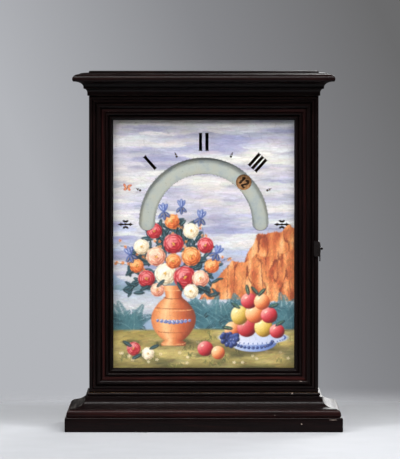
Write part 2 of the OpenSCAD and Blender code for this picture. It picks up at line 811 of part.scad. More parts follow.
module fasteners() {
    color(steel) {
        rod(button_c, back_y - screw_l, back_y + button_t + 0.4, latch_pin_r);
        rod(button_c, back_y + button_t + 0.4, back_y + button_t + 1.6, 2.6);
        for (side = [-1, 1]) translate([side * (plate_w / 2 - pillar_in), plate_in + plate_gap / 2, 0]) {
            translate([0, 0, plate_z0 - seat_t - 3]) cylinder(h = 3, r = 4, $fn = 6);
            translate([0, 0, plate_z0 - seat_t - 0.01])
                cylinder(h = seat_t + pillar_in - pillar_r + 0.01, r = seat_bolt_r);
        }
        rod([0, cock_z], cock_y + cock_t, cock_y + cock_t + 1.6, 3);
        translate([half_w - screw_l + 0.2, keeper_y, latch_z]) rotate([0, 90, 0])
            cylinder(h = screw_l - 0.2 + latch_plate_t + lever_t + 0.6, r = latch_pin_r);
        translate([half_w + latch_plate_t + lever_t + 0.6, keeper_y, latch_z]) rotate([0, 90, 0])
            cylinder(h = 0.8, r = latch_pin_r + 0.8);
    }
}

// Movement frame

module plate_outline() {
    polygon([[-plate_w / 2, plate_z0], [plate_w / 2, plate_z0], [plate_w / 2, plate_z1 - plate_corner],
        [plate_w / 2 - plate_corner, plate_z1], [-plate_w / 2 + plate_corner, plate_z1],
        [-plate_w / 2, plate_z1 - plate_corner]]);
}

pillar_cs = [for (sx = [-1, 1], z = [plate_z0 + pillar_in, plate_z1 - plate_corner - pillar_in])
    [sx * (plate_w / 2 - pillar_in), z]];

module front_plate() {
    color(brass) difference() {
        slab(plate_y, plate_in) plate_outline();
        rod(dial, plate_y - eps, plate_in + eps, arbor_r + run_gap);
        rod(barrel_c, plate_y - eps, plate_in + eps, arbor_r + run_gap);
        for (c = [second_c, third_c, escape_c]) rod(c, plate_y - eps, plate_in + eps, tip_r + run_gap);
        for (c = pillar_cs) rod(c, plate_y - eps, plate_in + eps, pillar_tip_r + fit_gap);
        rod(trip_c, plate_y - eps, plate_in + eps, trip_r + fit_gap);
    }
}

module back_plate() {
    color(brass) difference() {
        slab(back_plate_y, back_plate_rear) plate_outline();
        rod(dial, back_plate_y - eps, back_plate_rear + eps, tip_r + run_gap);
        rod(barrel_c, back_plate_y - eps, back_plate_rear + eps, wind_r + run_gap);
        for (c = [second_c, third_c]) rod(c, back_plate_y - eps, back_plate_rear + eps, tip_r + run_gap);
        rod(escape_c, back_plate_y - eps, back_plate_rear + eps, thin_r + 0.5);
        rod(pallet_c, back_plate_y - eps, back_plate_rear + eps, tip_r + run_gap);
        for (c = pillar_cs) rod(c, back_plate_y - eps, back_plate_rear + eps, pillar_tip_r + fit_gap);
        rod(click_c, back_plate_y - eps, back_plate_rear + eps, tip_r + fit_gap);
    }
}

// Turned pillars with a belt in the middle and riveted ends
module plate_pillars() {
    mid = plate_gap / 2;
    color(brass) for (c = pillar_cs) translate([c.x, back_plate_rear, c.y]) rotate([90, 0, 0])
        rotate_extrude() polygon([[0, 0], [pillar_tip_r, 0], [pillar_tip_r, plate_t], [pillar_r + 1, plate_t],
            [pillar_r + 1, plate_t + 2], [pillar_r - 1.4, plate_t + 4], [pillar_r - 1, plate_t + mid - 3],
            [pillar_r, plate_t + mid - 2], [pillar_r, plate_t + mid + 2], [pillar_r - 1, plate_t + mid + 3],
            [pillar_r - 1.4, plate_t + plate_gap - 4], [pillar_r + 1, plate_t + plate_gap - 2],
            [pillar_r + 1, plate_t + plate_gap], [pillar_tip_r, plate_t + plate_gap],
            [pillar_tip_r, 2 * plate_t + plate_gap], [0, 2 * plate_t + plate_gap]]);
}

// Pin that turns a star wheel by two points when it passes the foot of the dial
trip_r = 1;
trip_c = dial - [0, planet_r + star_r - 1];

module trip_pin() {
    color(steel) rod(trip_c, star_y + 0.3, plate_in, trip_r);
}

cock_w = 14;
cock_foot_h = 12;
cock_rise = 19;
cock_z = pallet_c.y + cock_rise;

module back_cock() {
    foot_z = cock_z - cock_foot_h / 2;
    color(brass) difference() {
        union() {
            slab(back_plate_rear, cock_y + 0.01) translate([-cock_w / 2, foot_z]) square([cock_w, cock_foot_h]);
            slab(cock_y, cock_y + cock_t) {
                translate([-cock_w / 2, escape_c.y]) square([cock_w, foot_z + cock_foot_h - escape_c.y]);
                translate([escape_c.x, escape_c.y]) circle(r = cock_w / 2);
            }
        }
        rod(pallet_c, cock_y - eps, cock_y + cock_t + eps, thin_r + run_gap);
        rod(escape_c, cock_y - eps, cock_y + cock_t + eps, tip_r + run_gap);
    }
}

// Wheels

// Point of an involute of base radius rb, unrolled by t degrees
function involute(rb, t) = rb * [cos(t) + t * PI / 180 * sin(t), sin(t) - t * PI / 180 * cos(t)];
function roll_at(rb, r) = r <= rb ? 0 : sqrt(r * r / (rb * rb) - 1) * 180 / PI;
function turn(p, a) = [p.x * cos(a) - p.y * sin(a), p.x * sin(a) + p.y * cos(a)];
function angle_of(p) = atan2(p.y, p.x);

// Outline of a gear with a tooth centred on the angle phase
pressure_a = 25;
backlash = 0.12;
function gear_points(m, z, phase, steps) =
    let (rp = m * z / 2, rb = rp * cos(pressure_a), ra = rp + m * 0.92, rf = rp - m * 1.2,
        start = max(rb, rf), half = 90 / z - backlash / rp * 45 / PI,
        pitch_turn = angle_of(involute(rb, roll_at(rb, rp))),
        flank = [for (i = [0 : steps]) let (r = start + (ra - start) * i / steps,
            p = involute(rb, roll_at(rb, r))) turn(p, -pitch_turn - half)],
        foot = [rf * cos(angle_of(flank[0])), rf * sin(angle_of(flank[0]))],
        right = concat(start > rf + 0.01 ? [foot] : [], flank),
        n = len(right),
        left = [for (i = [n - 1 : -1 : 0]) [right[i].x, -right[i].y]])
    [for (k = [0 : z - 1], p = concat(right, left)) turn(p, phase + 360 / z * k)];

// Bore of a wheel that is driven on to a round arbor, cut with flat sides
module flat_bore(c, r) {
    translate(c) circle(r = (r + fit_gap) / cos(15), $fn = 12);
}

module pinion(c, y0, y1, m, phase, bore) {
    slab(y0, y1) difference() {
        translate(c) polygon(gear_points(m, pinion_z, phase, 3));
        flat_bore(c, bore);
    }
}

// Openings between the arms of a wheel
module crossings(r_in, r_out, arms, arm_w) {
    for (k = [0 : arms - 1]) rotate(360 / arms * k) {
        a_out = asin(arm_w / 2 / r_out);
        a_in = asin(arm_w / 2 / r_in);
        polygon(concat(arc(0, 0, r_out, r_out, a_out, 360 / arms - a_out, 7),
            arc(0, 0, r_in, r_in, 360 / arms - a_in, a_in, 3)));
    }
}

module wheel(c, y0, m, z, t, phase, bore) {
    rim = m * z / 2 - 2.6 * m - 0.6;
    slab(y0, y0 + t) difference() {
        translate(c) polygon(gear_points(m, z, phase, 2));
        translate(c) crossings(5.2, rim, 4, 2.4);
        flat_bore(c, bore);
    }
}

// Arbor with a pivot at each end
module arbor(c, y0, y1, r, front_tip, rear_tip) {
    rod(c, y0, y1, r);
    rod(c, y0 - front_tip, y0 + 0.01, tip_r);
    rod(c, y1 - 0.01, y1 + rear_tip, tip_r);
}

shake = 0.2;

module train_arbor(c) {
    arbor(c, plate_in + shake, back_plate_y - shake, thin_r, plate_t + shake, plate_t + shake);
}

// Carrier disc: full disc with two apertures, seen behind the arc
module carrier_disc() {
    color("#a9b09c") difference() {
        rod(dial, disc_y, disc_back, carrier_r);
        rod(dial, disc_y - eps, disc_back + eps, hub_r + fit_gap);
        for (side = [-1, 1]) {
            out = side * polar(1, 90 - hour_angle);
            rod(dial + slot_r * out, disc_y - eps, disc_back + eps, aperture_r);
            rod(dial + planet_r * out, disc_y - eps, disc_back + eps, tip_r + fit_gap);
            rod(dial + post_r * out, disc_y - eps, disc_back + eps, tip_r + fit_gap);
        }
    }
}

hub_r = 3;
collar_r = 8;
collar_t = 2;
post_r = planet_r - hour_r - 3;

module two_hour_arbor() {
    color(steel) {
        rod(dial, disc_y - 0.2, disc_back, hub_r);
        rod(dial, disc_back, disc_back + collar_t, collar_r);
        rod(dial, disc_y - 1.2, disc_y - 0.2, hub_r + 1.5, 6);
        rod(dial, disc_back + collar_t, back_plate_y - shake, arbor_r);
        rod(dial, back_plate_y - shake - 0.01, back_plate_rear, tip_r);
        pinion(dial, great_y - 1, great_y + great_t + 1, great_m, hour_phase, arbor_r);
    }
}

module two_hour_wheel() {
    color(brass) wheel(dial, two_hour_y, fine_m, wheel_z, wheel_t, hour_phase, arbor_r);
}

// Studs of the hour discs, and the bent springs that hold the star wheels
module jumper_springs() {
    notch_r = star_r - star_depth;
    tip_at = planet_r - notch_r;
    color(steel) for (side = [0, 180])
        translate([dial.x, 0, dial.y]) rotate([0, -90 + hour_angle - side, 0]) {
            rod([planet_r, 0], disc_y, star_back + 0.3, tip_r);
            rod([planet_r, 0], star_back + 0.3, star_back + 1, tip_r + 1.2);
            rod([post_r, 0], disc_y, star_y + 0.3, tip_r);
            slab(star_y + 0.3, star_back) polygon([[post_r - 2.2, -2], [post_r + 2, -2],
                [tip_at - 5, -0.9], [tip_at - 1.6, -0.9], [tip_at - 0.25, -0.1], [tip_at - 0.25, 0.1],
                [tip_at - 1.6, 0.9], [tip_at - 5, 0.9], [post_r + 2, 2], [post_r - 2.2, 2]]);
        }
}

star_depth = 3.2;

// Star wheel with a gap towards the dial's centre
module star(c) {
    gap_a = angle_of(dial - c);
    slab(star_y, star_back) difference() {
        translate(c) rotate(gap_a) polygon([for (k = [0 : star_points - 1], p = [
            polar(star_r - star_depth, 360 / star_points * k - 3),
            polar(star_r - star_depth, 360 / star_points * k + 3),
            polar(star_r, 360 / star_points * (k + 0.5) - 2),
            polar(star_r, 360 / star_points * (k + 0.5) + 2)]) p]);
        flat_bore(c, tip_r + run_gap);
    }
}

module star_wheel_even() { color(brass) star(even_c); }
module star_wheel_odd() { color(brass) star(odd_c); }

// Pierced numerals, drawn in strokes with bridges that keep their islands in place

stroke = 1.35;

module bar(a, b) {
    d = b - a;
    translate(a) rotate(angle_of(d)) translate([-stroke * 0.3, -stroke / 2])
        square([norm(d) + stroke * 0.6, stroke]);
}

module bow(cx, cy, r, a0, a1) {
    ri = r - stroke / 2;
    ro = r + stroke / 2;
    polygon(concat(arc(cx, cy, ro, ro, a0, a1, 8), arc(cx, cy, ri, ri, a1, a0, 8)));
}

// A digit centred on the origin, 10 units high
module digit(d) {
    if (d == 0) for (s = [0, 180]) rotate(s) {
        polygon(concat(arc(0, 0, 3.1, 5, -78, 78, 10), arc(0, 0, 3.1 - stroke, 5 - stroke, 70, -70, 10)));
    }
    if (d == 1) { bar([0, -4.3], [0, 4.3]); bar([0, 4.3], [-1.7, 2.9]); }
    if (d == 2) { bow(0, 2.3, 2.1, -35, 170); bar([1.6, 0.9], [-2.2, -4.2]); bar([-2.2, -4.3], [2.6, -4.3]); }
    if (d == 3) { bow(-0.3, 2.4, 2, -80, 150); bow(-0.3, -2.1, 2.3, -150, 80); }
    if (d == 4) { bar([1, 4.6], [-2.4, -1]); bar([-2.4, -1.4], [-0.2, -1.4]); bar([1.6, 1.6], [1.6, -4.3]); }
    if (d == 5) {
        bar([2.1, 4.3], [-1.7, 4.3]);
        bar([-1.7, 4.1], [-1.9, 0.9]);
        bow(-0.2, -1.7, 2.4, -150, 128);
    }
    if (d == 6) { bow(0.1, -2, 2.4, -165, 150); bar([-2.3, -1], [0.9, 4.3]); }
    if (d == 7) { bar([-2.3, 4.3], [2.3, 4.3]); bar([2.2, 4], [-1, -4.3]); }
    if (d == 8) for (s = [0, 180]) rotate(s) {
        bow(0, 2.5, 1.9, -62, 76);
        bow(0, 2.5, 1.9, 104, 242);
    }
    if (d == 9) rotate(180) digit(6);
}

module hour_numeral(h) {
    scale(digit_h / 10) {
        if (h < 10) digit(h);
        else {
            translate([-2.7, 0]) digit(1);
            translate([2.7, 0]) scale([0.9, 1]) digit(h - 10);
        }
    }
}

// Six hours round a disc, the first one in its aperture with its head to the rim of the dial
module hour_disc(c, first, step_a) {
    ring = slot_r - planet_r;
    slab(hour_y, star_y) difference() {
        translate(c) circle(r = hour_r);
        translate(c) for (k = [0 : 5]) rotate(step_a + 60 * k) translate([0, ring])
            hour_numeral((first + 2 * k - 1) % 12 + 1);
        translate(c) circle(r = tip_r + run_gap, $fn = 48);
    }
}

module hour_disc_even() { color("#9c7a4c") hour_disc(even_c, 12, -hour_angle); }
module hour_disc_odd() { color("#9c7a4c") hour_disc(odd_c, 1, 180 - hour_angle); }

// Barrel with the great wheel on its front, its cover and its spring

module barrel() {
    color(brass) {
        slab(great_y, barrel_y) difference() {
            translate(barrel_c) polygon(gear_points(great_m, wheel_z, great_phase, 2));
            flat_bore(barrel_c, wind_r + run_gap);
        }
        difference() {
            rod(barrel_c, barrel_y, barrel_y + barrel_l - 1.2, barrel_r);
            rod(barrel_c, barrel_y + barrel_wall, barrel_y + barrel_l, barrel_r - barrel_wall);
            rod(barrel_c, barrel_y - eps, barrel_y + barrel_l, wind_r + run_gap);
        }
    }
}

module barrel_cover() {
    color(brass) difference() {
        rod(barrel_c, barrel_y + barrel_l - 1.2, barrel_y + barrel_l, barrel_r);
        rod(barrel_c, barrel_y, barrel_y + barrel_l + eps, wind_r + run_gap);
    }
}

spring_turns = 6;
spring_t = 0.6;
core_r = wind_r + 1.5;

module mainspring() {
    r0 = core_r + 0.4;
    r1 = barrel_r - barrel_wall - spring_t - 0.1;
    steps = 20 * spring_turns;
    inner = [for (i = [0 : steps]) polar(r0 + (r1 - r0) * i / steps, 360 * spring_turns * i / steps)];
    outer = [for (i = [steps : -1 : 0])
        polar(r0 + spring_t + (r1 - r0) * i / steps, 360 * spring_turns * i / steps)];
    color(steel) slab(barrel_y + barrel_wall + 0.1, barrel_y + barrel_l - 1.3)
        translate(barrel_c) polygon(concat(inner, outer));
}

module second_wheel() {
    color(steel) train_arbor(second_c);
    color(steel) pinion(second_c, two_hour_y - 1, two_hour_y + wheel_t + 1.5, fine_m, second_phase, thin_r);
    color(brass) wheel(second_c, second_y, fine_m, wheel_z, wheel_t, second_phase, thin_r);
}

module third_wheel() {
    color(steel) train_arbor(third_c);
    color(steel) pinion(third_c, second_y - 1, second_y + wheel_t + 1, fine_m, third_phase, thin_r);
    color(brass) wheel(third_c, third_y, fine_m, wheel_z, wheel_t, third_phase, thin_r);
}

// Escape wheel with pointed teeth that lean forwards; its phase leaves each pallet a quarter pitch
pallet_half_a = 360 / escape_z * 3.75;
escape_phase = 90 + pallet_half_a + 360 / escape_z / 4;
escape_depth = 3;

module escape_wheel() {
    pitch = 360 / escape_z;
    color(steel) arbor(escape_c, plate_in + shake, cock_y - shake, thin_r, plate_t + shake, cock_t + shake);
    color(steel) pinion(escape_c, third_y - 1, third_y + wheel_t + 1, fine_m, escape_pinion_phase, thin_r);
    color(brass) slab(escape_y, escape_y + wheel_t) difference() {
        translate(escape_c) rotate(escape_phase + pitch / 2) polygon([for (k = [0 : escape_z - 1], p = [
            polar(escape_r, pitch * k - 0.5), polar(escape_r, pitch * k + 0.5),
            polar(escape_r - escape_depth, pitch * k + 1.6),
            polar(escape_r - escape_depth, pitch * (k + 1) - 2.4)]) p]);
        translate(escape_c) crossings(3.6, escape_r - escape_depth - 1.6, 4, 1.6);
        flat_bore(escape_c, thin_r);
    }
}

// Anchor with two thin nibs that just clear the points of the escape wheel at rest
nib_t = 0.6;
nib_gap = 0.4;

module pallet_arm() {
    tip = polar(escape_r + nib_gap, 90 - pallet_half_a);
    top = polar(escape_r + nib_gap + 5.2, 90 - pallet_half_a);
    across = polar(nib_t / 2, -pallet_half_a);
    polygon([tip - across, tip + across, top + across * 3.4, [0, pallet_rise + 2.6], [0, pallet_rise - 2],
        top - across * 4.5 - polar(1.4, 90 - pallet_half_a)]);
}

module pallets() {
    color(steel) {
        rod(pallet_c, back_plate_rear + shake, pendulum_y + 2.6, thin_r);
        rod(pallet_c, back_plate_y, back_plate_rear + shake + 0.01, tip_r);
        slab(escape_y, escape_y + wheel_t) difference() {
            union() {
                translate(pallet_c) circle(r = 3.4, $fn = 12);
                translate(escape_c) for (side = [0, 1]) mirror([side, 0]) pallet_arm();
            }
            flat_bore(pallet_c, thin_r);
        }
    }
}

// Pendulum: collar, flat rod and lens-shaped bob
module pendulum() {
    bob_z = pallet_c.y - pendulum_l;
    color(steel) slab(pendulum_y, pendulum_y + 2) difference() {
        union() {
            translate(pallet_c) circle(r = 3.6);
            translate([pallet_c.x - 1.2, bob_z + bob_r - 0.6]) square([2.4, pendulum_l - bob_r]);
        }
        translate(pallet_c) circle(r = thin_r + fit_gap);
    }
    color(brass) translate([pallet_c.x, pendulum_y + 1, bob_z]) rotate([90, 0, 0]) rotate_extrude()
        polygon(concat([[0, -bob_t / 2]], arc(0, 0, bob_r, bob_t / 2, -80, 80, 12), [[0, bob_t / 2]]));
}

// Winding arbor, with the core that holds the spring and a square for the key
square_w = 4.2;

module winding_arbor() {
    color(steel) {
        rod(barrel_c, plate_y, plate_in + shake, arbor_r);
        rod(barrel_c, plate_in + shake - 0.01, back_plate_rear + 0.4, wind_r);
        rod(barrel_c, barrel_y + barrel_wall + 0.2, barrel_y + barrel_l - 1.4, core_r);
        slab(back_plate_rear + 0.39, back_plate_rear + 12) translate(barrel_c)
            square([square_w, square_w], center = true);
    }
}

ratchet_y = back_plate_rear + 0.6;

module ratchet_wheel() {
    pitch = 360 / ratchet_z;
    color(steel) slab(ratchet_y, ratchet_y + 1.5) translate(barrel_c) difference() {
        polygon([for (k = [0 : ratchet_z - 1], p = [polar(ratchet_r, pitch * k),
            polar(ratchet_r - 1.2, pitch * k + 1.5)]) p]);
        square([square_w + 2 * fit_gap, square_w + 2 * fit_gap], center = true);
    }
}

// Click beside the ratchet, whose nose drops behind a tooth; points are counted from the ratchet's centre
click_c = barrel_c + [-ratchet_r - 3, ratchet_r - 1];

module click() {
    color(steel) slab(ratchet_y, ratchet_y + 1.5) difference() {
        union() {
            translate(click_c) circle(r = 2.4);
            translate(barrel_c + [0, ratchet_r]) polygon([[-0.3, -0.8], [-1.4, -0.2], [-2.2, 0.7],
                [-6, 0.9], [-ratchet_r - 1.8, -2.9], [-ratchet_r - 3, 1.2], [-1, 2.6], [-0.3, 1.8]]);
        }
        translate(click_c) circle(r = tip_r + run_gap);
    }
}

// Stud of the click, and the thin leaf that presses it down close to its pivot
module click_spring() {
    foot = click_c + [-12, 8];
    color(steel) {
        rod(click_c, back_plate_y, ratchet_y + 1.7, tip_r);
        rod(click_c, ratchet_y + 1.7, ratchet_y + 2.4, tip_r + 0.8);
        rod(foot, back_plate_rear, ratchet_y + 1.5, 2);
        slab(ratchet_y + 0.2, ratchet_y + 1.3) translate(click_c)
            polygon([[-11, 7.2], [1.4, 3.3], [2.7, 3.2], [2.7, 3.6], [1.5, 3.7], [-11, 8.2]]);
    }
}

plinth_front();
plinth_returns();
base_moulding_front();
base_moulding_returns();
base_frame();
floor_board();
side_panel_left();
side_panel_right();
top_board();
cap_board();
cornice_front();
cornice_returns();
vent_grille();
smoke_hood();
seat_board();
lamp_shelf();
case_cleats();
lamp_reservoir();
lamp_burner();
lamp_reflector();
back_hinge_leaves_case();
fasteners();
door_stile_left();
door_stile_right();
door_rail_top();
door_rail_bottom();
painted_panel();
panel_beads();
door_pivots();
latch_plate();
latch_lever();
back_door_board();
back_door_battens();
back_hinge_leaves_door();
back_door_button();
front_plate();
back_plate();
plate_pillars();
trip_pin();
back_cock();
click_spring();
carrier_disc();
two_hour_arbor();
two_hour_wheel();
jumper_springs();
hour_disc_even();
star_wheel_even();
hour_disc_odd();
star_wheel_odd();
barrel();
barrel_cover();
mainspring();
second_wheel();
third_wheel();
escape_wheel();
pallets();
pendulum();
winding_arbor();
ratchet_wheel();
click();
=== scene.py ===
# %% [markdown]
# A night clock stands in a dark wooden case like a small house front. Its door holds a painted
# metal panel, and behind a curved slot in the panel a disc carries the hours past.
# The pieces come ready-made from the CAD model, at their real size. This lesson gives them
# their finish, and adds what a CAD model leaves out: the paint, the wear and the nails.

# %% The frame
import math

import bmesh
import bpy
import numpy as np
from mathutils import Matrix, Vector, geometry


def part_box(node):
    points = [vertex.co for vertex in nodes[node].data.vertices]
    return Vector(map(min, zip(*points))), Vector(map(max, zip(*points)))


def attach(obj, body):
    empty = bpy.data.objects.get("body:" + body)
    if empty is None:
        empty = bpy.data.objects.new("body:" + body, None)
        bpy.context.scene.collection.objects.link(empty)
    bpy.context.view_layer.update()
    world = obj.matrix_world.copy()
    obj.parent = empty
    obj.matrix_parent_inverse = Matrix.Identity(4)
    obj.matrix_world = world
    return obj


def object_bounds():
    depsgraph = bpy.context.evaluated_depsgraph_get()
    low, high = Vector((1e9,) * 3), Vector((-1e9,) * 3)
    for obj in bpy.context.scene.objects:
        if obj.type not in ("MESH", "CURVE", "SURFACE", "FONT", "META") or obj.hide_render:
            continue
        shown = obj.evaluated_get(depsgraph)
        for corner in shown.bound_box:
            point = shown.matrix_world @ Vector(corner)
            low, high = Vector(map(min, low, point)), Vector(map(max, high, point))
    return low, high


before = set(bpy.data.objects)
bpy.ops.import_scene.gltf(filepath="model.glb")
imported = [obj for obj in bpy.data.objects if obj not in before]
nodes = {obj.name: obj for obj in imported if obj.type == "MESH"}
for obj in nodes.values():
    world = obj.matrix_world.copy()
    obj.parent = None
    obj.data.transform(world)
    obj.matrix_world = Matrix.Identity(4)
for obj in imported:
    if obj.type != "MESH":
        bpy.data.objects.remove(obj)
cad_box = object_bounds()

MM = 0.001

# %% [markdown]
# Everything that follows is placed by the pieces themselves, so the script first asks a few of
# them where they are: the door, the case round it, the panel and the mouldings. A box has a low
# corner, number 0, and a high one, number 1.

# %% Places taken from the pieces
door_low, door_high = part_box("door_stile_left")
frame_width = door_high.x - door_low.x
half_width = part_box("base_frame")[1].x
panel_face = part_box("painted_panel")[0].y
plinth_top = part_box("plinth_front")[1].z / MM
cornice_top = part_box("cornice_front")[1].z / MM
total_high = cad_box[1][2] / MM
print("panel face at y", round(panel_face / MM, 1), "mm, case", round(2 * half_width / MM), "mm wide")

# %% [markdown]
# The photograph was taken straight on, from about five and a half metres with a long lens, a
# little above the middle of the clock and tilted down by two degrees. A long lens keeps the
# sides of the case from showing, as they don't in the photograph.

# %% Camera
camera_place = Vector((-0.0047, -5.555, 0.470))
camera_tilt = math.radians(2.27)
focal_mm = 345.1
sensor_mm = 36
farthest = 50

camera = bpy.data.objects.new("camera", bpy.data.cameras.new("camera"))
camera.data.lens = focal_mm
camera.data.sensor_width = sensor_mm
camera.data.clip_end = farthest
camera.location = camera_place
camera.rotation_euler = (math.radians(90) - camera_tilt, 0, 0)
bpy.context.collection.objects.link(camera)
bpy.context.scene.camera = camera
print("camera", round(-camera_place.y, 2), "m from the clock's middle")

# %% [markdown]
# Colours are written as hex values, the way a picker on the screen shows them. A renderer adds
# light in linear values, so one function turns screen values into those. Another adds a node to
# a material, sets it and links it, whatever its kind. The plainest materials need only one noise
# for their tones and their roughness, so they share a function and differ in their numbers.

# %% Colour and node helpers
def rgb(hex_colour):
    """Red, green and blue of a hex colour, from 0 to 1, as the screen shows them."""
    return np.array([int(hex_colour[i:i + 2], 16) / 255 for i in (1, 3, 5)])


def to_linear(shown):
    """Linear light of sRGB values from 0 to 1."""
    return np.where(shown <= 0.04045, shown / 12.92, ((shown + 0.055) / 1.055) ** 2.4)


def linear(hex_colour):
    """Linear red, green, blue and alpha of an sRGB hex colour."""
    return (*to_linear(rgb(hex_colour)), 1.0)


def add(tree, kind, inputs=(), stops=(), **settings):
    """A new node: inputs pairs sockets with values or links, stops are places and hex colours."""
    made = tree.nodes.new(kind)
    for name, value in settings.items():
        setattr(made, name, value)
    for socket, value in dict(inputs).items():
        if isinstance(value, bpy.types.NodeSocket):
            tree.links.new(value, made.inputs[socket])
        else:
            made.inputs[socket].default_value = value
    for number, (place, colour) in enumerate(stops):
        elements = made.color_ramp.elements
        if number == 1:
            elements.remove(elements[1])
        if number == 0:
            elements[0].position = place
        element = elements[0] if number == 0 else elements.new(place)
        element.color = linear(colour)
    return made


def new_material(name, **sockets):
    """A material with its shader and output, and the point on the piece in millimetres."""
    made = bpy.data.materials.new(name)
    made.use_nodes = True
    tree = made.node_tree
    tree.nodes.clear()
    shader = add(tree, "ShaderNodeBsdfPrincipled",
                 {socket.replace("_", " "): value for socket, value in sockets.items()})
    add(tree, "ShaderNodeOutputMaterial", {"Surface": shader.outputs[0]})
    place = add(tree, "ShaderNodeTexCoord").outputs["Object"]
    point = add(tree, "ShaderNodeVectorMath", {0: place, 1: (1000, 1000, 1000)}, operation="MULTIPLY")
    return made, tree, shader, point.outputs[0]


def connect(tree, shader, **sources):
    """Links outputs to the shader's sockets, whose names have _ for a space."""
    for socket, source in sources.items():
        tree.links.new(source, shader.inputs[socket.replace("_", " ")])


def mottled(name, scale, detail, stops, rough=None, bump=None, **sockets):
    """A material whose tones follow one noise, as its roughness and a bump do if they are given."""
    made, tree, shader, point = new_material(name, **sockets)
    cloud = add(tree, "ShaderNodeTexNoise", {"Vector": point, "Scale": scale, "Detail": detail}).outputs[0]
    sources = {"Base_Color": add(tree, "ShaderNodeValToRGB", {0: cloud}, stops).outputs[0]}
    if rough:
        sources["Roughness"] = add(tree, "ShaderNodeMapRange",
                                   {"Value": cloud, "To Min": rough[0], "To Max": rough[1]}).outputs[0]
    if bump:
        sources["Normal"] = add(tree, "ShaderNodeBump",
                                {"Height": cloud, "Strength": bump, "Distance": 0.0002}).outputs[0]
    connect(tree, shader, **sources)
    return made


def finish_with(material, *names):
    """Gives CAD nodes a material."""
    for name in names:
        nodes[name].data.materials.clear()
        nodes[name].data.materials.append(material)


def new_piece(name, mesh, material, body):
    """A piece of this script's own, on the body that carries it."""
    mesh.materials.append(material)
    made = bpy.data.objects.new(name, mesh)
    bpy.context.collection.objects.link(made)
    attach(made, body)
    return made


# %% [markdown]
# The studio is a pale table top in front of a grey background, which in the photograph falls from
# light grey on the left to mid grey on the right. A wall behind the clock would hide its back
# from a camera that walks round it, so there is none: the background is the world itself, with
# its grey set by direction, and the table top fades into it between half a metre and one metre
# out. Two wide soft lights stand high to the left and right: lower ones would be mirrored in the
# waxed top. A strip hangs overhead, whose thin shape draws thin bright lines on the mouldings,
# and a soft light behind shows the back. The floor doesn't belong to the clock, so it is stage.

# %% Floor and background
def make_floor(radius, middle_y, opaque_to):
    """A round table top that fades out between two distances from its middle, in metres."""
    sides = 64
    turns = [2 * math.pi * k / sides for k in range(sides)]
    rim = [(radius * math.cos(a), middle_y + radius * math.sin(a), 0) for a in turns]
    mesh = bpy.data.meshes.new("floor")
    mesh.from_pydata(rim, [], [tuple(range(sides))])
    made = bpy.data.objects.new("floor", mesh)
    bpy.context.collection.objects.link(made)
    board, tree, shader, point = new_material("white laminate board, matt", Roughness=0.9)
    fibre = add(tree, "ShaderNodeTexNoise", {"Vector": point, "Scale": 0.02, "Detail": 4.0}).outputs[0]
    tone = add(tree, "ShaderNodeValToRGB", {0: fibre}, [(0.3, "#9FA1A5"), (0.7, "#A3A5A9")]).outputs[0]
    centre = (0, middle_y / MM, 0)
    away = add(tree, "ShaderNodeVectorMath", {0: point, 1: centre}, operation="DISTANCE").outputs[1]
    kept = add(tree, "ShaderNodeMapRange",
               {"Value": away, "From Min": opaque_to / MM, "From Max": radius / MM, "To Min": 1.0,
                "To Max": 0.0}, interpolation_type="SMOOTHSTEP").outputs[0]
    connect(tree, shader, Base_Color=tone, Alpha=kept)
    mesh.materials.append(board)


# The grey of the world, lighter to the left, is painted light: the fall of the studio light across the
# background.
def background(lighting):
    """A grey world, lighter to the left as painted light falling off across the background, that lights the
    clock with a small share of its strength.
    """
    world = bpy.data.worlds.new("studio")
    bpy.context.scene.world = world
    world.use_nodes = True
    tree = world.node_tree
    darker = (1, 0, 0.45)
    towards = add(tree, "ShaderNodeTexCoord").outputs["Generated"]
    right = add(tree, "ShaderNodeVectorMath", {0: towards, 1: darker}, operation="DOT_PRODUCT").outputs[1]
    share = add(tree, "ShaderNodeMapRange",
                {"Value": right, "From Min": -0.05, "From Max": 0.045}).outputs[0]
    grey = add(tree, "ShaderNodeValToRGB", {0: share},
               [(0.0, "#B4B6BB"), (0.55, "#88898D"), (1.0, "#6A6A6B")]).outputs[0]
    seen = add(tree, "ShaderNodeLightPath").outputs["Is Camera Ray"]
    strength = add(tree, "ShaderNodeMapRange",
                   {"Value": seen, "To Min": lighting, "To Max": 1.0}).outputs[0]
    connect(tree, tree.nodes["Background"], Color=grey, Strength=strength)


make_floor(radius=1.05, middle_y=-0.35, opaque_to=0.5)
background(lighting=0.1)
print("a floor that fades into a grey background")

# %% Lights
def area_light(name, place, target, width, height, power, beam=180):
    """A soft light of so many metres and watts, whose beam opens by so many degrees."""
    lamp = bpy.data.lights.new(name, "AREA")
    lamp.shape = "RECTANGLE"
    lamp.size, lamp.size_y = width, height
    lamp.energy = power
    lamp.spread = math.radians(beam)
    made = bpy.data.objects.new(name, lamp)
    made.location = place
    made.rotation_euler = (Vector(target) - Vector(place)).to_track_quat("-Z", "Y").to_euler()
    bpy.context.collection.objects.link(made)


middle = (0, 0, 0.22)
beside, before, above = 2.1, -1.75, 2.0
area_light("left softbox", (-beside, before, above), middle, 1.4, 1.2, 13.4, beam=70)
area_light("right softbox", (beside, before, above), middle, 1.4, 1.2, 10.4, beam=70)
area_light("overhead strip", (0, -0.6, 1.5), (0, -0.3, 0), 1.5, 0.16, 10, beam=100)
area_light("rear softbox", (0.9, 2.6, 1.3), middle, 1.4, 1.4, 12, beam=70)
bpy.context.scene.view_settings.view_transform = "Standard"
print("four soft lights")
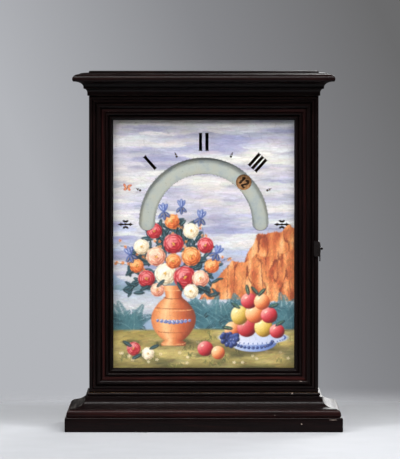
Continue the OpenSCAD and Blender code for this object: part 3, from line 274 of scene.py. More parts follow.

# %% [markdown]
# Ebonised wood is pear or another close wood, stained black with iron and logwood and then
# waxed. The stain fades to a deep red brown where the mouldings swell out and are rubbed: on
# the sloping band of the door frame, the round over the plinth and the round of the cornice.
# The grain runs along each member, so the finish is made once for each direction. The red bands lie at fixed
# heights on the level members and at a fixed distance from the middle on the upright ones, so one ramp over
# that distance holds them all. Where the wax is rubbed off the wood is also duller. The side returns are
# knocked most, so near the table they are scuffed pale grey, and that grey is also painted highlight: it
# stands in for the streaky sheen of light on them.

# %% Ebonised wood
def band_stops(bands, reach, blur):
    """Stops of a ramp that is light inside the bands and black outside, for values up to reach."""
    stops = [(0.0, "#000000")]
    for low, high, wear in bands:
        stops += [((low - blur) / reach, "#000000"), ((low + blur) / reach, wear),
                  ((high - blur) / reach, wear), ((high + blur) / reach, "#000000")]
    return stops


def ebonised_wood(axis, bands, reach, upright, coat=0.05, scuffs_and_sheen_below=0.0):
    """Black stained and waxed wood with its grain along axis 0, 1 or 2, rubbed red in bands.

    Below a height given in millimetres, near the table, knocks have scuffed it grey, and that pale grey is
    also painted highlight, the streaky sheen of light on the returns.
    """
    made, tree, shader, point = new_material("ebonised wood along " + "xyz"[axis], IOR=1.45,
                                             Specular_IOR_Level=0.08, Coat_Weight=coat, Coat_Roughness=0.12)
    stretch = [1.0, 1.0, 1.0]
    stretch[axis] = 0.03
    along = add(tree, "ShaderNodeVectorMath", {0: point, 1: stretch}, operation="MULTIPLY").outputs[0]
    streaks = add(tree, "ShaderNodeTexNoise", {"Vector": along, "Scale": 0.9, "Detail": 6.0,
                                               "Roughness": 0.62}).outputs[0]
    pores = add(tree, "ShaderNodeTexNoise", {"Vector": along, "Scale": 3.2, "Detail": 2.0}).outputs[0]
    patches = add(tree, "ShaderNodeTexNoise", {"Vector": along, "Scale": 0.16, "Detail": 3.0}).outputs[0]
    parts = add(tree, "ShaderNodeSeparateXYZ", {0: point})
    if upright:
        distance = add(tree, "ShaderNodeMath", {0: parts.outputs[0]}, operation="ABSOLUTE").outputs[0]
    else:
        distance = parts.outputs[2]
    share = add(tree, "ShaderNodeMath", {0: distance, 1: reach}, operation="DIVIDE").outputs[0]
    rubbed = add(tree, "ShaderNodeValToRGB", {0: share}, band_stops(bands, reach, 0.7)).outputs[0]
    uneven = add(tree, "ShaderNodeMapRange", {"Value": patches, "From Min": 0.38, "From Max": 0.58,
                                              "To Min": 0.25, "To Max": 1.0}).outputs[0]
    worn = add(tree, "ShaderNodeMath", {0: rubbed, 1: uneven}, operation="MULTIPLY").outputs[0]
    black = add(tree, "ShaderNodeValToRGB", {0: streaks},
                [(0.35, "#080505"), (0.55, "#0F0808"), (0.75, "#1C0B09")]).outputs[0]
    red = add(tree, "ShaderNodeValToRGB", {0: streaks},
              [(0.35, "#180504"), (0.52, "#280706"), (0.72, "#3C0E09")]).outputs[0]
    stained = add(tree, "ShaderNodeMix", {0: worn, 6: black, 7: red}, data_type="RGBA").outputs[2]
    dents = add(tree, "ShaderNodeTexNoise", {"Vector": along, "Scale": 0.5, "Detail": 4.0,
                                             "Distortion": 0.6}).outputs[0]
    marks = add(tree, "ShaderNodeMapRange", {"Value": dents, "From Min": 0.5, "From Max": 0.62}).outputs[0]
    near_table = add(tree, "ShaderNodeMapRange",
                     {"Value": parts.outputs[2], "From Min": scuffs_and_sheen_below - 12, "From Max": scuffs_and_sheen_below,
                      "To Min": 0.4, "To Max": 0.0}).outputs[0]
    scuffs_and_sheen = add(tree, "ShaderNodeMath", {0: marks, 1: near_table}, operation="MULTIPLY").outputs[0]
    # The pale grey is scuffed wax and also painted highlight: it stands in for the streaky sheen of light
    # near the table.
    colour = add(tree, "ShaderNodeMix", {0: scuffs_and_sheen, 6: stained, 7: linear("#77726C")},
                 data_type="RGBA").outputs[2]
    waxed = add(tree, "ShaderNodeMapRange", {"Value": streaks, "To Min": 0.22, "To Max": 0.42}).outputs[0]
    rough = add(tree, "ShaderNodeMath", {0: worn, 1: 0.3, 2: waxed}, operation="MULTIPLY_ADD").outputs[0]
    grain = add(tree, "ShaderNodeMath", {0: streaks, 1: pores}, operation="ADD").outputs[0]
    uneven_face = add(tree, "ShaderNodeMath", {0: scuffs_and_sheen, 1: 2.0, 2: grain},
                      operation="MULTIPLY_ADD").outputs[0]
    bump = add(tree, "ShaderNodeBump",
               {"Height": uneven_face, "Strength": 0.6, "Distance": 0.0001}).outputs[0]
    connect(tree, shader, Base_Color=colour, Roughness=rough, Normal=bump)
    return made


fully, partly, faintly = "#D8D8D8", "#C0C0C0", "#707070"
slope_from, slope_to = 15.8, 19.8
round_over_plinth = (plinth_top + 0.6, plinth_top + 9.4, partly)
round_of_cornice = (cornice_top - 8.5, cornice_top - 3.5, faintly)
foot, head = door_low.z / MM, door_high.z / MM
level_bands = [round_over_plinth, (foot + slope_from, foot + slope_to, fully),
               (head - slope_to, head - slope_from, fully), round_of_cornice]
wide_case = half_width / MM
upright_bands = [(wide_case - slope_to, wide_case - slope_from, fully)]
wood_x = ebonised_wood(0, level_bands, total_high, upright=False)
wood_y = ebonised_wood(1, level_bands, total_high, upright=False, coat=0.02, scuffs_and_sheen_below=60.0)
wood_z = ebonised_wood(2, upright_bands, 2 * wide_case, upright=True)
level_wood = ["plinth_front", "base_moulding_front", "cornice_front", "cap_board", "door_rail_top",
              "door_rail_bottom"]
return_wood = ["plinth_returns", "base_moulding_returns", "cornice_returns"]
upright_wood = ["side_panel_left", "side_panel_right", "door_stile_left", "door_stile_right"]
finish_with(wood_x, *level_wood)
finish_with(wood_y, *return_wood)
finish_with(wood_z, *upright_wood)
print(len(level_wood + return_wood + upright_wood), "members in ebonised wood")

# %% [markdown]
# A plane leaves the rounds of a moulding smooth, and a cloth softens every edge by a third of a
# millimetre or so. It's this softened edge that catches the light as a thin bright line. The CAD
# mesh has flat facets and no rounding, and its points must stay as they are, so two modifiers
# do the work: a small group of geometry nodes joins the facets and shades them smooth, and a
# bevel rounds whatever is still sharper than thirty degrees.

# %% Smooth rounds and softened edges
def smoothing_group():
    """Geometry nodes that weld a mesh, drop its stored normals and shade it smooth."""
    group = bpy.data.node_groups.new("smooth rounds", "GeometryNodeTree")
    group.interface.new_socket("Geometry", in_out="INPUT", socket_type="NodeSocketGeometry")
    group.interface.new_socket("Geometry", in_out="OUTPUT", socket_type="NodeSocketGeometry")
    given = add(group, "NodeGroupInput").outputs[0]
    welded = add(group, "GeometryNodeMergeByDistance", {"Geometry": given, "Distance": 1e-6}).outputs[0]
    plain = add(group, "GeometryNodeRemoveAttribute",
                {"Geometry": welded, "Name": "custom_normal"}).outputs[0]
    smooth = add(group, "GeometryNodeSetShadeSmooth", {"Geometry": plain, "Shade Smooth": True}).outputs[0]
    add(group, "NodeGroupOutput", {0: smooth})
    return group


def soften(names, width, segments=2):
    """Adds the smoothing and a bevel of so many millimetres to CAD nodes."""
    for name in names:
        smoothing = nodes[name].modifiers.new("smooth rounds", "NODES")
        smoothing.node_group = smooth_rounds
        bevel = nodes[name].modifiers.new("softened edges", "BEVEL")
        bevel.width = width * MM
        bevel.segments = segments
        bevel.limit_method = "ANGLE"
        bevel.angle_limit = math.radians(30)
        bevel.harden_normals = True


smooth_rounds = smoothing_group()
soften(level_wood + return_wood + upright_wood, 0.3)
print("edges softened by 0.3 mm")

# %% [markdown]
# Inside, and on the back, the case is plain pine, sawn and planed and then left bare for three
# centuries, so it's brown and dull. Pine shows broad rings: the dark late wood of each year
# comes as lines a few millimetres apart that wander a little along the board.

# %% Pine
def pine(axis, name):
    """Bare aged pine with its grain along axis 0, 1 or 2."""
    made, tree, shader, point = new_material(name, IOR=1.5)
    stretch = [1.0, 1.0, 1.0]
    stretch[axis] = 0.035
    along = add(tree, "ShaderNodeVectorMath", {0: point, 1: stretch}, operation="MULTIPLY").outputs[0]
    wander = add(tree, "ShaderNodeTexNoise", {"Vector": along, "Scale": 0.05, "Detail": 2.0}).outputs[0]
    turns = add(tree, "ShaderNodeMath", {0: wander, 1: 150.0}, operation="MULTIPLY").outputs[0]
    wave = add(tree, "ShaderNodeMath", {0: turns}, operation="SINE").outputs[0]
    rings = add(tree, "ShaderNodeMapRange", {"Value": wave, "From Min": -1.0, "From Max": 1.0}).outputs[0]
    fibres = add(tree, "ShaderNodeTexNoise", {"Vector": along, "Scale": 2.4, "Detail": 5.0}).outputs[0]
    dust = add(tree, "ShaderNodeTexNoise", {"Vector": point, "Scale": 0.03, "Detail": 4.0}).outputs[0]
    ringed = add(tree, "ShaderNodeValToRGB", {0: rings},
                 [(0.0, "#7C5C3B"), (0.6, "#85633F"), (0.9, "#5E412A"), (1.0, "#523622")]).outputs[0]
    fibred = add(tree, "ShaderNodeMix", {0: 0.3, 6: ringed, 7: fibres}, data_type="RGBA",
                 blend_type="OVERLAY").outputs[2]
    grime = add(tree, "ShaderNodeMapRange", {"Value": dust, "From Min": 0.35, "From Max": 0.7,
                                             "To Min": 0.0, "To Max": 0.5}).outputs[0]
    colour = add(tree, "ShaderNodeMix", {0: grime, 6: fibred, 7: linear("#4A3828")},
                 data_type="RGBA").outputs[2]
    rough = add(tree, "ShaderNodeMapRange", {"Value": fibres, "To Min": 0.6, "To Max": 0.85}).outputs[0]
    bump = add(tree, "ShaderNodeBump",
               {"Height": fibres, "Strength": 0.35, "Distance": 0.0002}).outputs[0]
    connect(tree, shader, Base_Color=colour, Roughness=rough, Normal=bump)
    return made


finish_with(pine(0, "pine, grain across"), "base_frame", "floor_board", "top_board", "seat_board",
            "lamp_shelf", "back_door_battens")
finish_with(pine(2, "pine, grain upright"), "back_door_board", "panel_beads")
finish_with(pine(1, "pine, grain front to back"), "case_cleats")
soften(["back_door_board", "back_door_battens"], 0.8)
print("nine pieces in pine")

# %% [markdown]
# The movement is cast and hammered brass, filed flat and stoned, with arbors of steel driven
# through the wheels. Old brass goes brown in patches and keeps its shine where it's handled.
# Each wheel is one node with its arbor, so the finish of a wheel turns from steel to brass at
# the radius where its pinion ends, counted from the middle of the wheel.

# %% Brass, and steel arbors in brass wheels
steel_tones = [(0.4, "#8D9095"), (0.65, "#5D6166")]


def aged_brass(name, middle_at=None, steel_radius=3.6):
    """Brass with brown tarnish; steel within steel_radius of middle_at, in metres, if given."""
    made, tree, shader, point = new_material(name, Metallic=1.0)
    cloud = add(tree, "ShaderNodeTexNoise", {"Vector": point, "Scale": 0.09, "Detail": 5.0}).outputs[0]
    specks = add(tree, "ShaderNodeTexNoise", {"Vector": point, "Scale": 1.1, "Detail": 3.0}).outputs[0]
    both = add(tree, "ShaderNodeMath", {0: specks, 1: 0.35, 2: cloud}, operation="MULTIPLY_ADD").outputs[0]
    brass = add(tree, "ShaderNodeValToRGB", {0: both},
                [(0.45, "#C9A25A"), (0.65, "#A9823F"), (0.85, "#6E5026")]).outputs[0]
    if middle_at:
        centre = (middle_at[0] / MM, 0, middle_at[1] / MM)
        level = add(tree, "ShaderNodeVectorMath", {0: point, 1: (1, 0, 1)}, operation="MULTIPLY").outputs[0]
        away = add(tree, "ShaderNodeVectorMath", {0: level, 1: centre}, operation="DISTANCE").outputs[1]
        outside = add(tree, "ShaderNodeMath", {0: away, 1: steel_radius},
                      operation="GREATER_THAN").outputs[0]
        steel = add(tree, "ShaderNodeValToRGB", {0: cloud}, steel_tones).outputs[0]
        brass = add(tree, "ShaderNodeMix", {0: outside, 6: steel, 7: brass}, data_type="RGBA").outputs[2]
    rough = add(tree, "ShaderNodeMapRange", {"Value": both, "From Min": 0.45, "From Max": 0.85,
                                             "To Min": 0.24, "To Max": 0.5}).outputs[0]
    bump = add(tree, "ShaderNodeBump",
               {"Height": specks, "Strength": 0.1, "Distance": 0.0001}).outputs[0]
    connect(tree, shader, Base_Color=brass, Roughness=rough, Normal=bump)
    return made


brass = aged_brass("brass, filed and stoned")
finish_with(brass, "back_hinge_leaves_case", "back_hinge_leaves_door", "back_door_button", "front_plate",
            "back_plate", "plate_pillars", "back_cock", "two_hour_wheel", "star_wheel_even",
            "star_wheel_odd", "barrel", "barrel_cover", "lamp_burner")
for name in ("second_wheel", "third_wheel", "escape_wheel"):
    low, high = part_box(name)
    wheel_at = ((low.x + high.x) / 2, (low.z + high.z) / 2)
    finish_with(aged_brass("brass and steel, " + name.replace("_", " "), wheel_at), name)
print("brass on the plates and wheels")

# %% [markdown]
# Arbors, springs and screws are steel. It was filed bright and then darkened by oil and time, to
# blue grey with brown freckles of rust that stay small. The latch and the grille are sheet iron
# blackened in the fire, which leaves a dark brown scale with a low sheen.

# %% Steel and blackened iron
def old_steel():
    made, tree, shader, point = new_material("steel, filed and oiled", Metallic=1.0)
    cloud = add(tree, "ShaderNodeTexNoise", {"Vector": point, "Scale": 0.15, "Detail": 4.0}).outputs[0]
    freckles = add(tree, "ShaderNodeTexNoise", {"Vector": point, "Scale": 0.9, "Detail": 5.0}).outputs[0]
    rust = add(tree, "ShaderNodeMapRange",
               {"Value": freckles, "From Min": 0.60, "From Max": 0.72}).outputs[0]
    bright = add(tree, "ShaderNodeValToRGB", {0: cloud}, steel_tones).outputs[0]
    colour = add(tree, "ShaderNodeMix", {0: rust, 6: bright, 7: linear("#5A3A26")},
                 data_type="RGBA").outputs[2]
    rough = add(tree, "ShaderNodeMapRange", {"Value": rust, "To Min": 0.3, "To Max": 0.75}).outputs[0]
    connect(tree, shader, Base_Color=colour, Roughness=rough)
    return made


steel = old_steel()
iron = mottled("iron, blackened in the fire", 0.5, 5.0,
               [(0.35, "#0E0B0B"), (0.55, "#171212"), (0.75, "#2A1B15")],
               rough=(0.36, 0.66), bump=0.3, Metallic=0.5, Specular_IOR_Level=0.25)
finish_with(steel, "fasteners", "door_pivots", "trip_pin", "click_spring", "two_hour_arbor",
            "jumper_springs", "mainspring", "pallets", "pendulum", "winding_arbor",
            "ratchet_wheel", "click")
finish_with(iron, "vent_grille", "latch_plate", "latch_lever")
soften(["latch_plate"], 0.35)
print("steel and iron on the small parts")

# %% [markdown]
# The lamp, its hood and its reflector are tinplate: sheet iron dipped in tin. New it's like
# dull silver. The flame leaves soot, thickest on what hangs over it, so the tin darkens upwards
# from the height of the wick's tip to the hood.

# %% Tinplate with soot
def tinplate(clean_z, sooty_z):
    """Tinned sheet that blackens from one height to another, in metres."""
    made, tree, shader, point = new_material("tinplate under soot", Metallic=1.0)
    spangle = add(tree, "ShaderNodeTexVoronoi", {"Vector": point, "Scale": 0.22}).outputs["Distance"]
    cloud = add(tree, "ShaderNodeTexNoise", {"Vector": point, "Scale": 0.07, "Detail": 5.0}).outputs[0]
    tin = add(tree, "ShaderNodeValToRGB", {0: spangle}, [(0.1, "#B4B6B8"), (0.9, "#92959A")]).outputs[0]
    height = add(tree, "ShaderNodeSeparateXYZ", {0: point}).outputs[2]
    rise = add(tree, "ShaderNodeMapRange", {"Value": height, "From Min": clean_z / MM,
                                            "From Max": sooty_z / MM}).outputs[0]
    soot = add(tree, "ShaderNodeMath", {0: rise, 1: cloud}, operation="MULTIPLY").outputs[0]
    cover = add(tree, "ShaderNodeMapRange",
                {"Value": soot, "From Max": 0.45, "To Min": 0.08, "To Max": 0.96}).outputs[0]
    colour = add(tree, "ShaderNodeMix", {0: cover, 6: tin, 7: linear("#14110F")},
                 data_type="RGBA").outputs[2]
    rough = add(tree, "ShaderNodeMapRange", {"Value": cover, "To Min": 0.28, "To Max": 0.95}).outputs[0]
    connect(tree, shader, Base_Color=colour, Roughness=rough)
    return made


flame_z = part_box("lamp_burner")[1].z
black_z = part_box("smoke_hood")[0].z + 12 * MM
finish_with(tinplate(flame_z, black_z), "lamp_reservoir", "lamp_reflector", "smoke_hood")
print("tinplate from clean at z", round(flame_z / MM), "to black at", round(black_z / MM), "mm")

# %% [markdown]
# The carrier disc is painted a pale grey green that has gone blotchy. It's oil paint on brass,
# so it has brush marks and a low gloss. The two hour discs are gilt brass that has dulled to
# brown, and the numerals are cut right through them, so they read black against the dark inside.

# %% Carrier paint and dulled gilding
def carrier_paint():
    made, tree, shader, point = new_material("oil paint, pale grey green", IOR=1.5, Coat_Weight=0.1,
                                             Coat_Roughness=0.35)
    blotch = add(tree, "ShaderNodeTexNoise", {"Vector": point, "Scale": 0.055, "Detail": 6.0,
                                              "Roughness": 0.65}).outputs[0]
    dirt = add(tree, "ShaderNodeTexNoise", {"Vector": point, "Scale": 0.35, "Detail": 5.0}).outputs[0]
    colour = add(tree, "ShaderNodeValToRGB", {0: blotch},
                 [(0.30, "#8D979D"), (0.48, "#A0A69F"), (0.62, "#A6A79A"), (0.78, "#8E9082")]).outputs[0]
    spots = add(tree, "ShaderNodeMapRange", {"Value": dirt, "From Min": 0.58, "From Max": 0.75,
                                             "To Max": 0.4}).outputs[0]
    dirty = add(tree, "ShaderNodeMix", {0: spots, 6: colour, 7: linear("#6E756E")},
                data_type="RGBA").outputs[2]
    rough = add(tree, "ShaderNodeMapRange", {"Value": dirt, "To Min": 0.4, "To Max": 0.62}).outputs[0]
    bump = add(tree, "ShaderNodeBump",
               {"Height": dirt, "Strength": 0.2, "Distance": 0.0002}).outputs[0]
    connect(tree, shader, Base_Color=dirty, Roughness=rough, Normal=bump)
    return made


gilding = mottled("gilt brass, dulled", 0.4, 5.0, [(0.35, "#B98A5C"), (0.55, "#A2744A"), (0.75, "#6E4B2E")],
                  rough=(0.42, 0.65), Metallic=0.55)
finish_with(carrier_paint(), "carrier_disc")
finish_with(gilding, "hour_disc_even", "hour_disc_odd")
print("carrier painted, hour discs gilt")

# %% [markdown]
# The picture is oil paint on a metal sheet. It is a flower piece of this lesson's own: a clay
# vase of flowers on the left, ferns and a dish of fruit on the right, and a coast of red rock
# far behind. A painter works from the sky to the foreground with a loaded brush, so the script
# does the same on a grid of points half a millimetre apart, which later colours the paint's
# mesh. Two more grids go along: how thick the paint lies, and which way the brush runs.

# %% Canvas
cell = 0.5
margin = 0.1
wide = 2 * half_width / MM - 2 * frame_width / MM - 2 * margin
high = (door_high.z - door_low.z - 2 * frame_width) / MM - 2 * margin
xs = np.arange(-wide / 2, wide / 2 + cell, cell)
hs = np.arange(0, high + cell, cell)[:, None]
X, H = np.broadcast_arrays(xs, hs)
paint = np.ones((len(hs), len(xs), 3))
thick = np.zeros(paint.shape[:2])
flow = np.zeros(paint.shape[:2])
draw = np.random.default_rng(17)
print("canvas of", paint.shape[1], "by", paint.shape[0], "points for", round(wide), "by", round(high), "mm")

# %% [markdown]
# Two kinds of work make the picture. A wash is laid over an area whose edge is soft, and a
# stroke is one touch of a brush, which leaves marks of its bristles along the way it runs.

# %% Washes and strokes
def blend(stops, t):
    """Colours along a list of hex stops, for t from 0 to 1."""
    colours = np.array([rgb(s) for s in stops])
    places = np.linspace(0, 1, len(stops))
    return np.stack([np.interp(t, places, colours[:, c]) for c in range(3)], -1)


def cloudy(across, up, seed):
    """Smooth noise from 0 to 1 whose patches are so many millimetres wide and high."""
    dice = np.random.default_rng(seed)
    rows, columns = int(high / up) + 3, int(wide / across) + 3
    grid = dice.random((rows, columns))
    fx, fy = (xs + wide / 2) / across, hs[:, 0] / up
    ix, iy = fx.astype(int), fy.astype(int)
    tx, ty = fx - ix, (fy - iy)[:, None]
    tx, ty = tx * tx * (3 - 2 * tx), ty * ty * (3 - 2 * ty)
    low = grid[iy][:, ix] * (1 - tx) + grid[iy][:, ix + 1] * tx
    top = grid[iy + 1][:, ix] * (1 - tx) + grid[iy + 1][:, ix + 1] * tx
    return low * (1 - ty) + top * ty


def soft(distance, edge=0.8):
    """1 inside and 0 outside of an outline, from the distance inside it."""
    return np.clip(distance / edge + 0.5, 0, 1)


def lay(mask, colour, run=None):
    """Lays a colour over the canvas where the mask is, with the brush run in degrees."""
    global paint
    paint = paint * (1 - mask[..., None]) + colour * mask[..., None]
    if run is not None:
        flow[mask > 0.5] = np.broadcast_to(np.radians(run), flow.shape)[mask > 0.5]


def stroke(x, h, angle, length, width, colour, strength=0.85, load=0.5):
    """One touch of the brush, with bristle marks along it."""
    reach = (length + width) / 2
    j0, j1 = np.searchsorted(xs, (x - reach, x + reach))
    i0, i1 = np.searchsorted(hs[:, 0], (h - reach, h + reach))
    if i0 == i1 or j0 == j1:
        return
    dx, dh = xs[j0:j1] - x, hs[i0:i1] - h
    along = (dx * math.cos(angle) + dh * math.sin(angle)) * 2 / length
    across = (dh * math.cos(angle) - dx * math.sin(angle)) * 2 / width
    cover = np.clip(2.5 * (1 - along * along - across * across), 0, 1)
    bristle = np.sin(across * 5 + x) * 0.5 + 0.5
    cover *= strength * (0.7 + 0.3 * bristle)
    spot = (slice(i0, i1), slice(j0, j1))
    paint[spot] += (colour * (0.96 + 0.06 * bristle[..., None]) - paint[spot]) * cover[..., None]
    thick[spot] += (load * (0.5 + 0.5 * bristle) - thick[spot]) * cover
    flow[spot][cover > 0.4] = angle


def scatter(mask, count):
    """Random points where the mask is."""
    spots = np.flatnonzero(mask.ravel() > 0.5)
    pick = draw.choice(spots, count)
    jitter = draw.uniform(-cell, cell, (2, count))
    return X.ravel()[pick] + jitter[0], H.ravel()[pick] + jitter[1], pick


def brush_over(mask, count, length, width, vary=0.05, strength=0.8, load=0.5, turn=0.15):
    """Works over an area with strokes in the colours that lie there already."""
    x, h, pick = scatter(mask, count)
    under = paint.reshape(-1, 3)[pick]
    run = flow.ravel()[pick] + draw.normal(0, turn, count)
    tone = 1 + draw.normal(0, vary, (count, 1)) + draw.normal(0, vary / 3, (count, 3))
    for k in range(count):
        size = draw.uniform(0.6, 1.3)
        stroke(x[k], h[k], run[k], length * size, width * size, np.clip(under[k] * tone[k], 0, 1),
               strength, load)


print("brushes ready")

# %% [markdown]
# The sky comes first: lavender and cream in long level streaks, with a little blue low down.

# %% Sky
horizon = 104
level = np.clip((H - horizon) / (high - horizon), 0, 1)
sky = blend(["#C9CCDA", "#A9B2D2", "#B9BBD6", "#C6C4CF", "#A8A8C4", "#9FA0BA"], level)
lay(np.ones(X.shape), sky, 0)
for seed, across, up, colour, cut, amount in (
        (3, 95, 13, "#CFD1D6", 0.42, 0.9), (4, 60, 7, "#DBDBD8", 0.55, 0.85),
        (5, 70, 9, "#8D90B8", 0.58, 0.8), (6, 40, 5, "#D2CBCC", 0.62, 0.6),
        (7, 50, 6, "#8489A9", 0.70, 0.7)):
    streak = cloudy(across, up, seed)
    lay(np.clip((streak - cut) * 4, 0, 1) * amount, rgb(colour))
brush_over(H > horizon - 6, 3600, 28, 4.2, vary=0.03, turn=0.06)
brush_over(H > horizon - 6, 5200, 12, 2.0, vary=0.035, turn=0.09)
print("sky painted")

# %% Far hills, water and red cliffs
hills = horizon + 16 + 11 * np.sin(X / 27 + 2.0) + 6 * np.sin(X / 11) + 4 * cloudy(8, 50, 11)
lay(soft(hills - H), blend(["#9CAEC8", "#7F97B8"], np.clip((hills - H) / 18, 0, 1)), 15)
nearer = horizon + 3 + 5 * np.sin(X / 19 + 4.0) + 4 * cloudy(6, 50, 12)
lay(soft(nearer - H), blend(["#86A0AE", "#688594"], np.clip((nearer - H) / 10, 0, 1)), 10)
water = horizon - 7
lay(soft(water - H), blend(["#A9B9CF", "#C9CBD3", "#8FA5BF"], np.clip((water - H) / 40, 0, 1)), 0)
brush_over((hills > H) & (H > horizon - 46), 2000, 10, 2.0, vary=0.05)
cliffs = (((34, 100), 1.9, 176, 21), ((8, 98), 1.3, 138, 24), ((74, 96), 2.6, 150, 27))
for (x0, h0), slope, top, seed in cliffs:
    crest = np.minimum(top - 12 * cloudy(13, 50, seed), h0 + slope * (X - x0)) + 7 * cloudy(5, 50, seed + 1)
    cliff = soft(np.minimum(crest - H, H - h0 + 12), 0.8)
    facet = np.clip(0.55 * cloudy(4.5, 23, seed + 2) + 0.45 * cloudy(11, 13, seed + 4)
                    + 0.25 * np.clip((crest - H) / 60, -1, 0.6) * cloudy(20, 9, seed + 5), 0, 1)
    lay(cliff, blend(["#7A3524", "#B05735", "#D98B54", "#F0C794"], facet), 82)
    crack = np.abs(cloudy(7, 30, seed + 6) - 0.5) < 0.035
    lay(cliff * crack * 0.7, rgb("#6E2F20"))
    brush_over(cliff > 0.5, 1500, 4.5, 1.3, vary=0.1, turn=0.35)
print("distance painted")


# %% [markdown]
# Leaves and petals are single touches. A leaf is a dark touch, a lighter one on the lit side and
# a pale vein; a fern is a bent rib with leaflets that shorten towards its tip. An open flower is
# three whorls of petals round its heart, lighter where they face the light from the upper left.

# %% Leaves, ferns and flowers
dark_leaf, mid_leaf, pale_leaf = "#13282F", "#2C5260", "#7FA3A6"
light_at = math.radians(130)


def leaf(x, h, angle, length, dark=dark_leaf, mid=mid_leaf, vein=pale_leaf):
    wide_leaf = length * 0.36
    side = math.copysign(0.2 * wide_leaf, math.sin(light_at - angle))
    sx, sh = -math.sin(angle) * side, math.cos(angle) * side
    stroke(x, h, angle, length, wide_leaf, rgb(dark), 0.95, 0.6)
    stroke(x + sx, h + sh, angle, length * 0.8, wide_leaf * 0.45, rgb(mid), 0.85, 0.7)
    stroke(x, h, angle, length * 0.75, 0.7, rgb(vein), 0.7, 0.8)


def fern(x, h, angle, length, bend):
    """A frond that starts at x, h and bends over to one side."""
    pitch = 1.7
    steps = int(length / pitch)
    for k in range(steps):
        angle += bend / steps
        x, h = x + pitch * math.cos(angle), h + pitch * math.sin(angle)
        size = length * 0.30 * (1 - k / steps) ** 0.8 + 1.2
        lit_by = 0.25 + 0.5 * math.sin(angle) + draw.uniform(0, 0.3)
        tone = blend([dark_leaf, mid_leaf, "#4F7C86"], min(1, lit_by))
        for side in (-1, 1):
            lean = angle + side * 1.05
            px, ph = x + size / 2 * math.cos(lean), h + size / 2 * math.sin(lean)
            stroke(px, ph, lean, size, 1.5, tone, 0.9, 0.7)
        stroke(x, h, angle, 2.6, 0.8, rgb(pale_leaf), 0.6, 0.8)


def flower(x, h, r, stops, petals=8, heart="#D9A94A"):
    """An open flower of whorls, with its stops from shade to light."""
    spin = draw.uniform(0, 6.3)
    stroke(x, h, 0, 2.1 * r, 2.0 * r, rgb(stops[0]), 0.95, 0.5)
    for ring, reach in enumerate((0.72, 0.48, 0.26)):
        count = petals - 2 * ring
        for k in range(count):
            a = spin + (k + 0.5 * ring) * 2 * math.pi / count
            lit_by = 0.45 + 0.33 * math.cos(a - light_at) + 0.12 * ring + draw.normal(0, 0.06)
            px, ph = x + reach * r * math.cos(a), h + reach * r * math.sin(a)
            petal, rim = blend(stops, np.clip(lit_by, 0, 1)), blend(stops, np.clip(lit_by + 0.35, 0, 1))
            stroke(px, ph, a + math.pi / 2, r * 0.92, r * 0.52, petal, 0.95, 0.8)
            stroke(px + 0.2 * r * math.cos(a), ph + 0.2 * r * math.sin(a), a + math.pi / 2,
                   r * 0.62, r * 0.14, rim, 0.8, 1.0)
            stroke(px - 0.24 * r * math.cos(a), ph - 0.24 * r * math.sin(a), a, r * 0.4, r * 0.12,
                   rgb(stops[0]), 0.7, 0.5)
    for k in range(9):
        a, away = draw.uniform(0, 6.3), draw.uniform(0, 0.16) * r
        stroke(x + away * math.cos(a), h + away * math.sin(a), a, r * 0.16, r * 0.12, rgb(heart), 0.9, 1.0)


def iris(x, h, r, lean=0.0):
    """Three upright and three hanging petals in blue, with a yellow tongue on each that hangs."""
    petals = ((-0.75, 1.1, 0), (0.75, 1.1, 0), (0, 1.2, 0), (-0.5, 1.2, 1), (0.5, 1.2, 1), (0, 1.3, 1))
    for spread, length, upward in petals:
        a = lean + spread + (math.pi / 2 if upward else -math.pi / 2)
        px, ph = x + 0.55 * r * math.cos(a), h + 0.55 * r * math.sin(a)
        stops = ["#25387C", "#5570B4", "#A9B6DE"] if upward else ["#16224E", "#2F4890", "#7F94CC"]
        stroke(px, ph, a, r * length, r * 0.55, blend(stops, 0.25), 0.95, 0.8)
        stroke(px - 0.08 * r, ph + 0.05 * r, a, r * length * 0.85, r * 0.28, blend(stops, 0.8), 0.85, 0.9)
        stroke(px, ph, a, r * length * 0.8, r * 0.07, rgb("#E6E4EE" if upward else "#E0B548"), 0.8, 1.0)


def spray(x, h, angle, count, stops):
    """A bent stem of five-petalled small flowers."""
    for k in range(count):
        angle += draw.normal(0, 0.12)
        x, h = x + 4.2 * math.cos(angle), h + 4.2 * math.sin(angle)
        stroke(x, h, angle, 5, 0.9, rgb(mid_leaf), 0.9, 0.7)
        cx, ch = x + draw.normal(0, 2.2), h + draw.normal(0, 2.2)
        for a in np.arange(5) * 2 * math.pi / 5 + draw.uniform(0, 1):
            stroke(cx + 1.25 * math.cos(a), ch + 1.25 * math.sin(a), a, 2.2, 1.5,
                   blend(stops, draw.uniform(0.3, 1)), 0.95, 0.9)
        stroke(cx, ch, 0, 1.0, 1.0, rgb("#6B3A1C"), 0.9, 0.9)


for x in np.arange(-8, 118, 9.0):
    for k in range(7):
        fern(x + draw.normal(0, 3), draw.uniform(42, 60), math.pi / 2 + draw.normal(0, 0.5),
             draw.uniform(26, 44), draw.normal(0, 1.3))
for x in np.arange(-112, -84, 8.0):
    for k in range(6):
        fern(x, draw.uniform(40, 52), math.pi / 2 + draw.normal(0, 0.4),
             draw.uniform(24, 38), draw.normal(0, 1.2))
print("ferns painted")


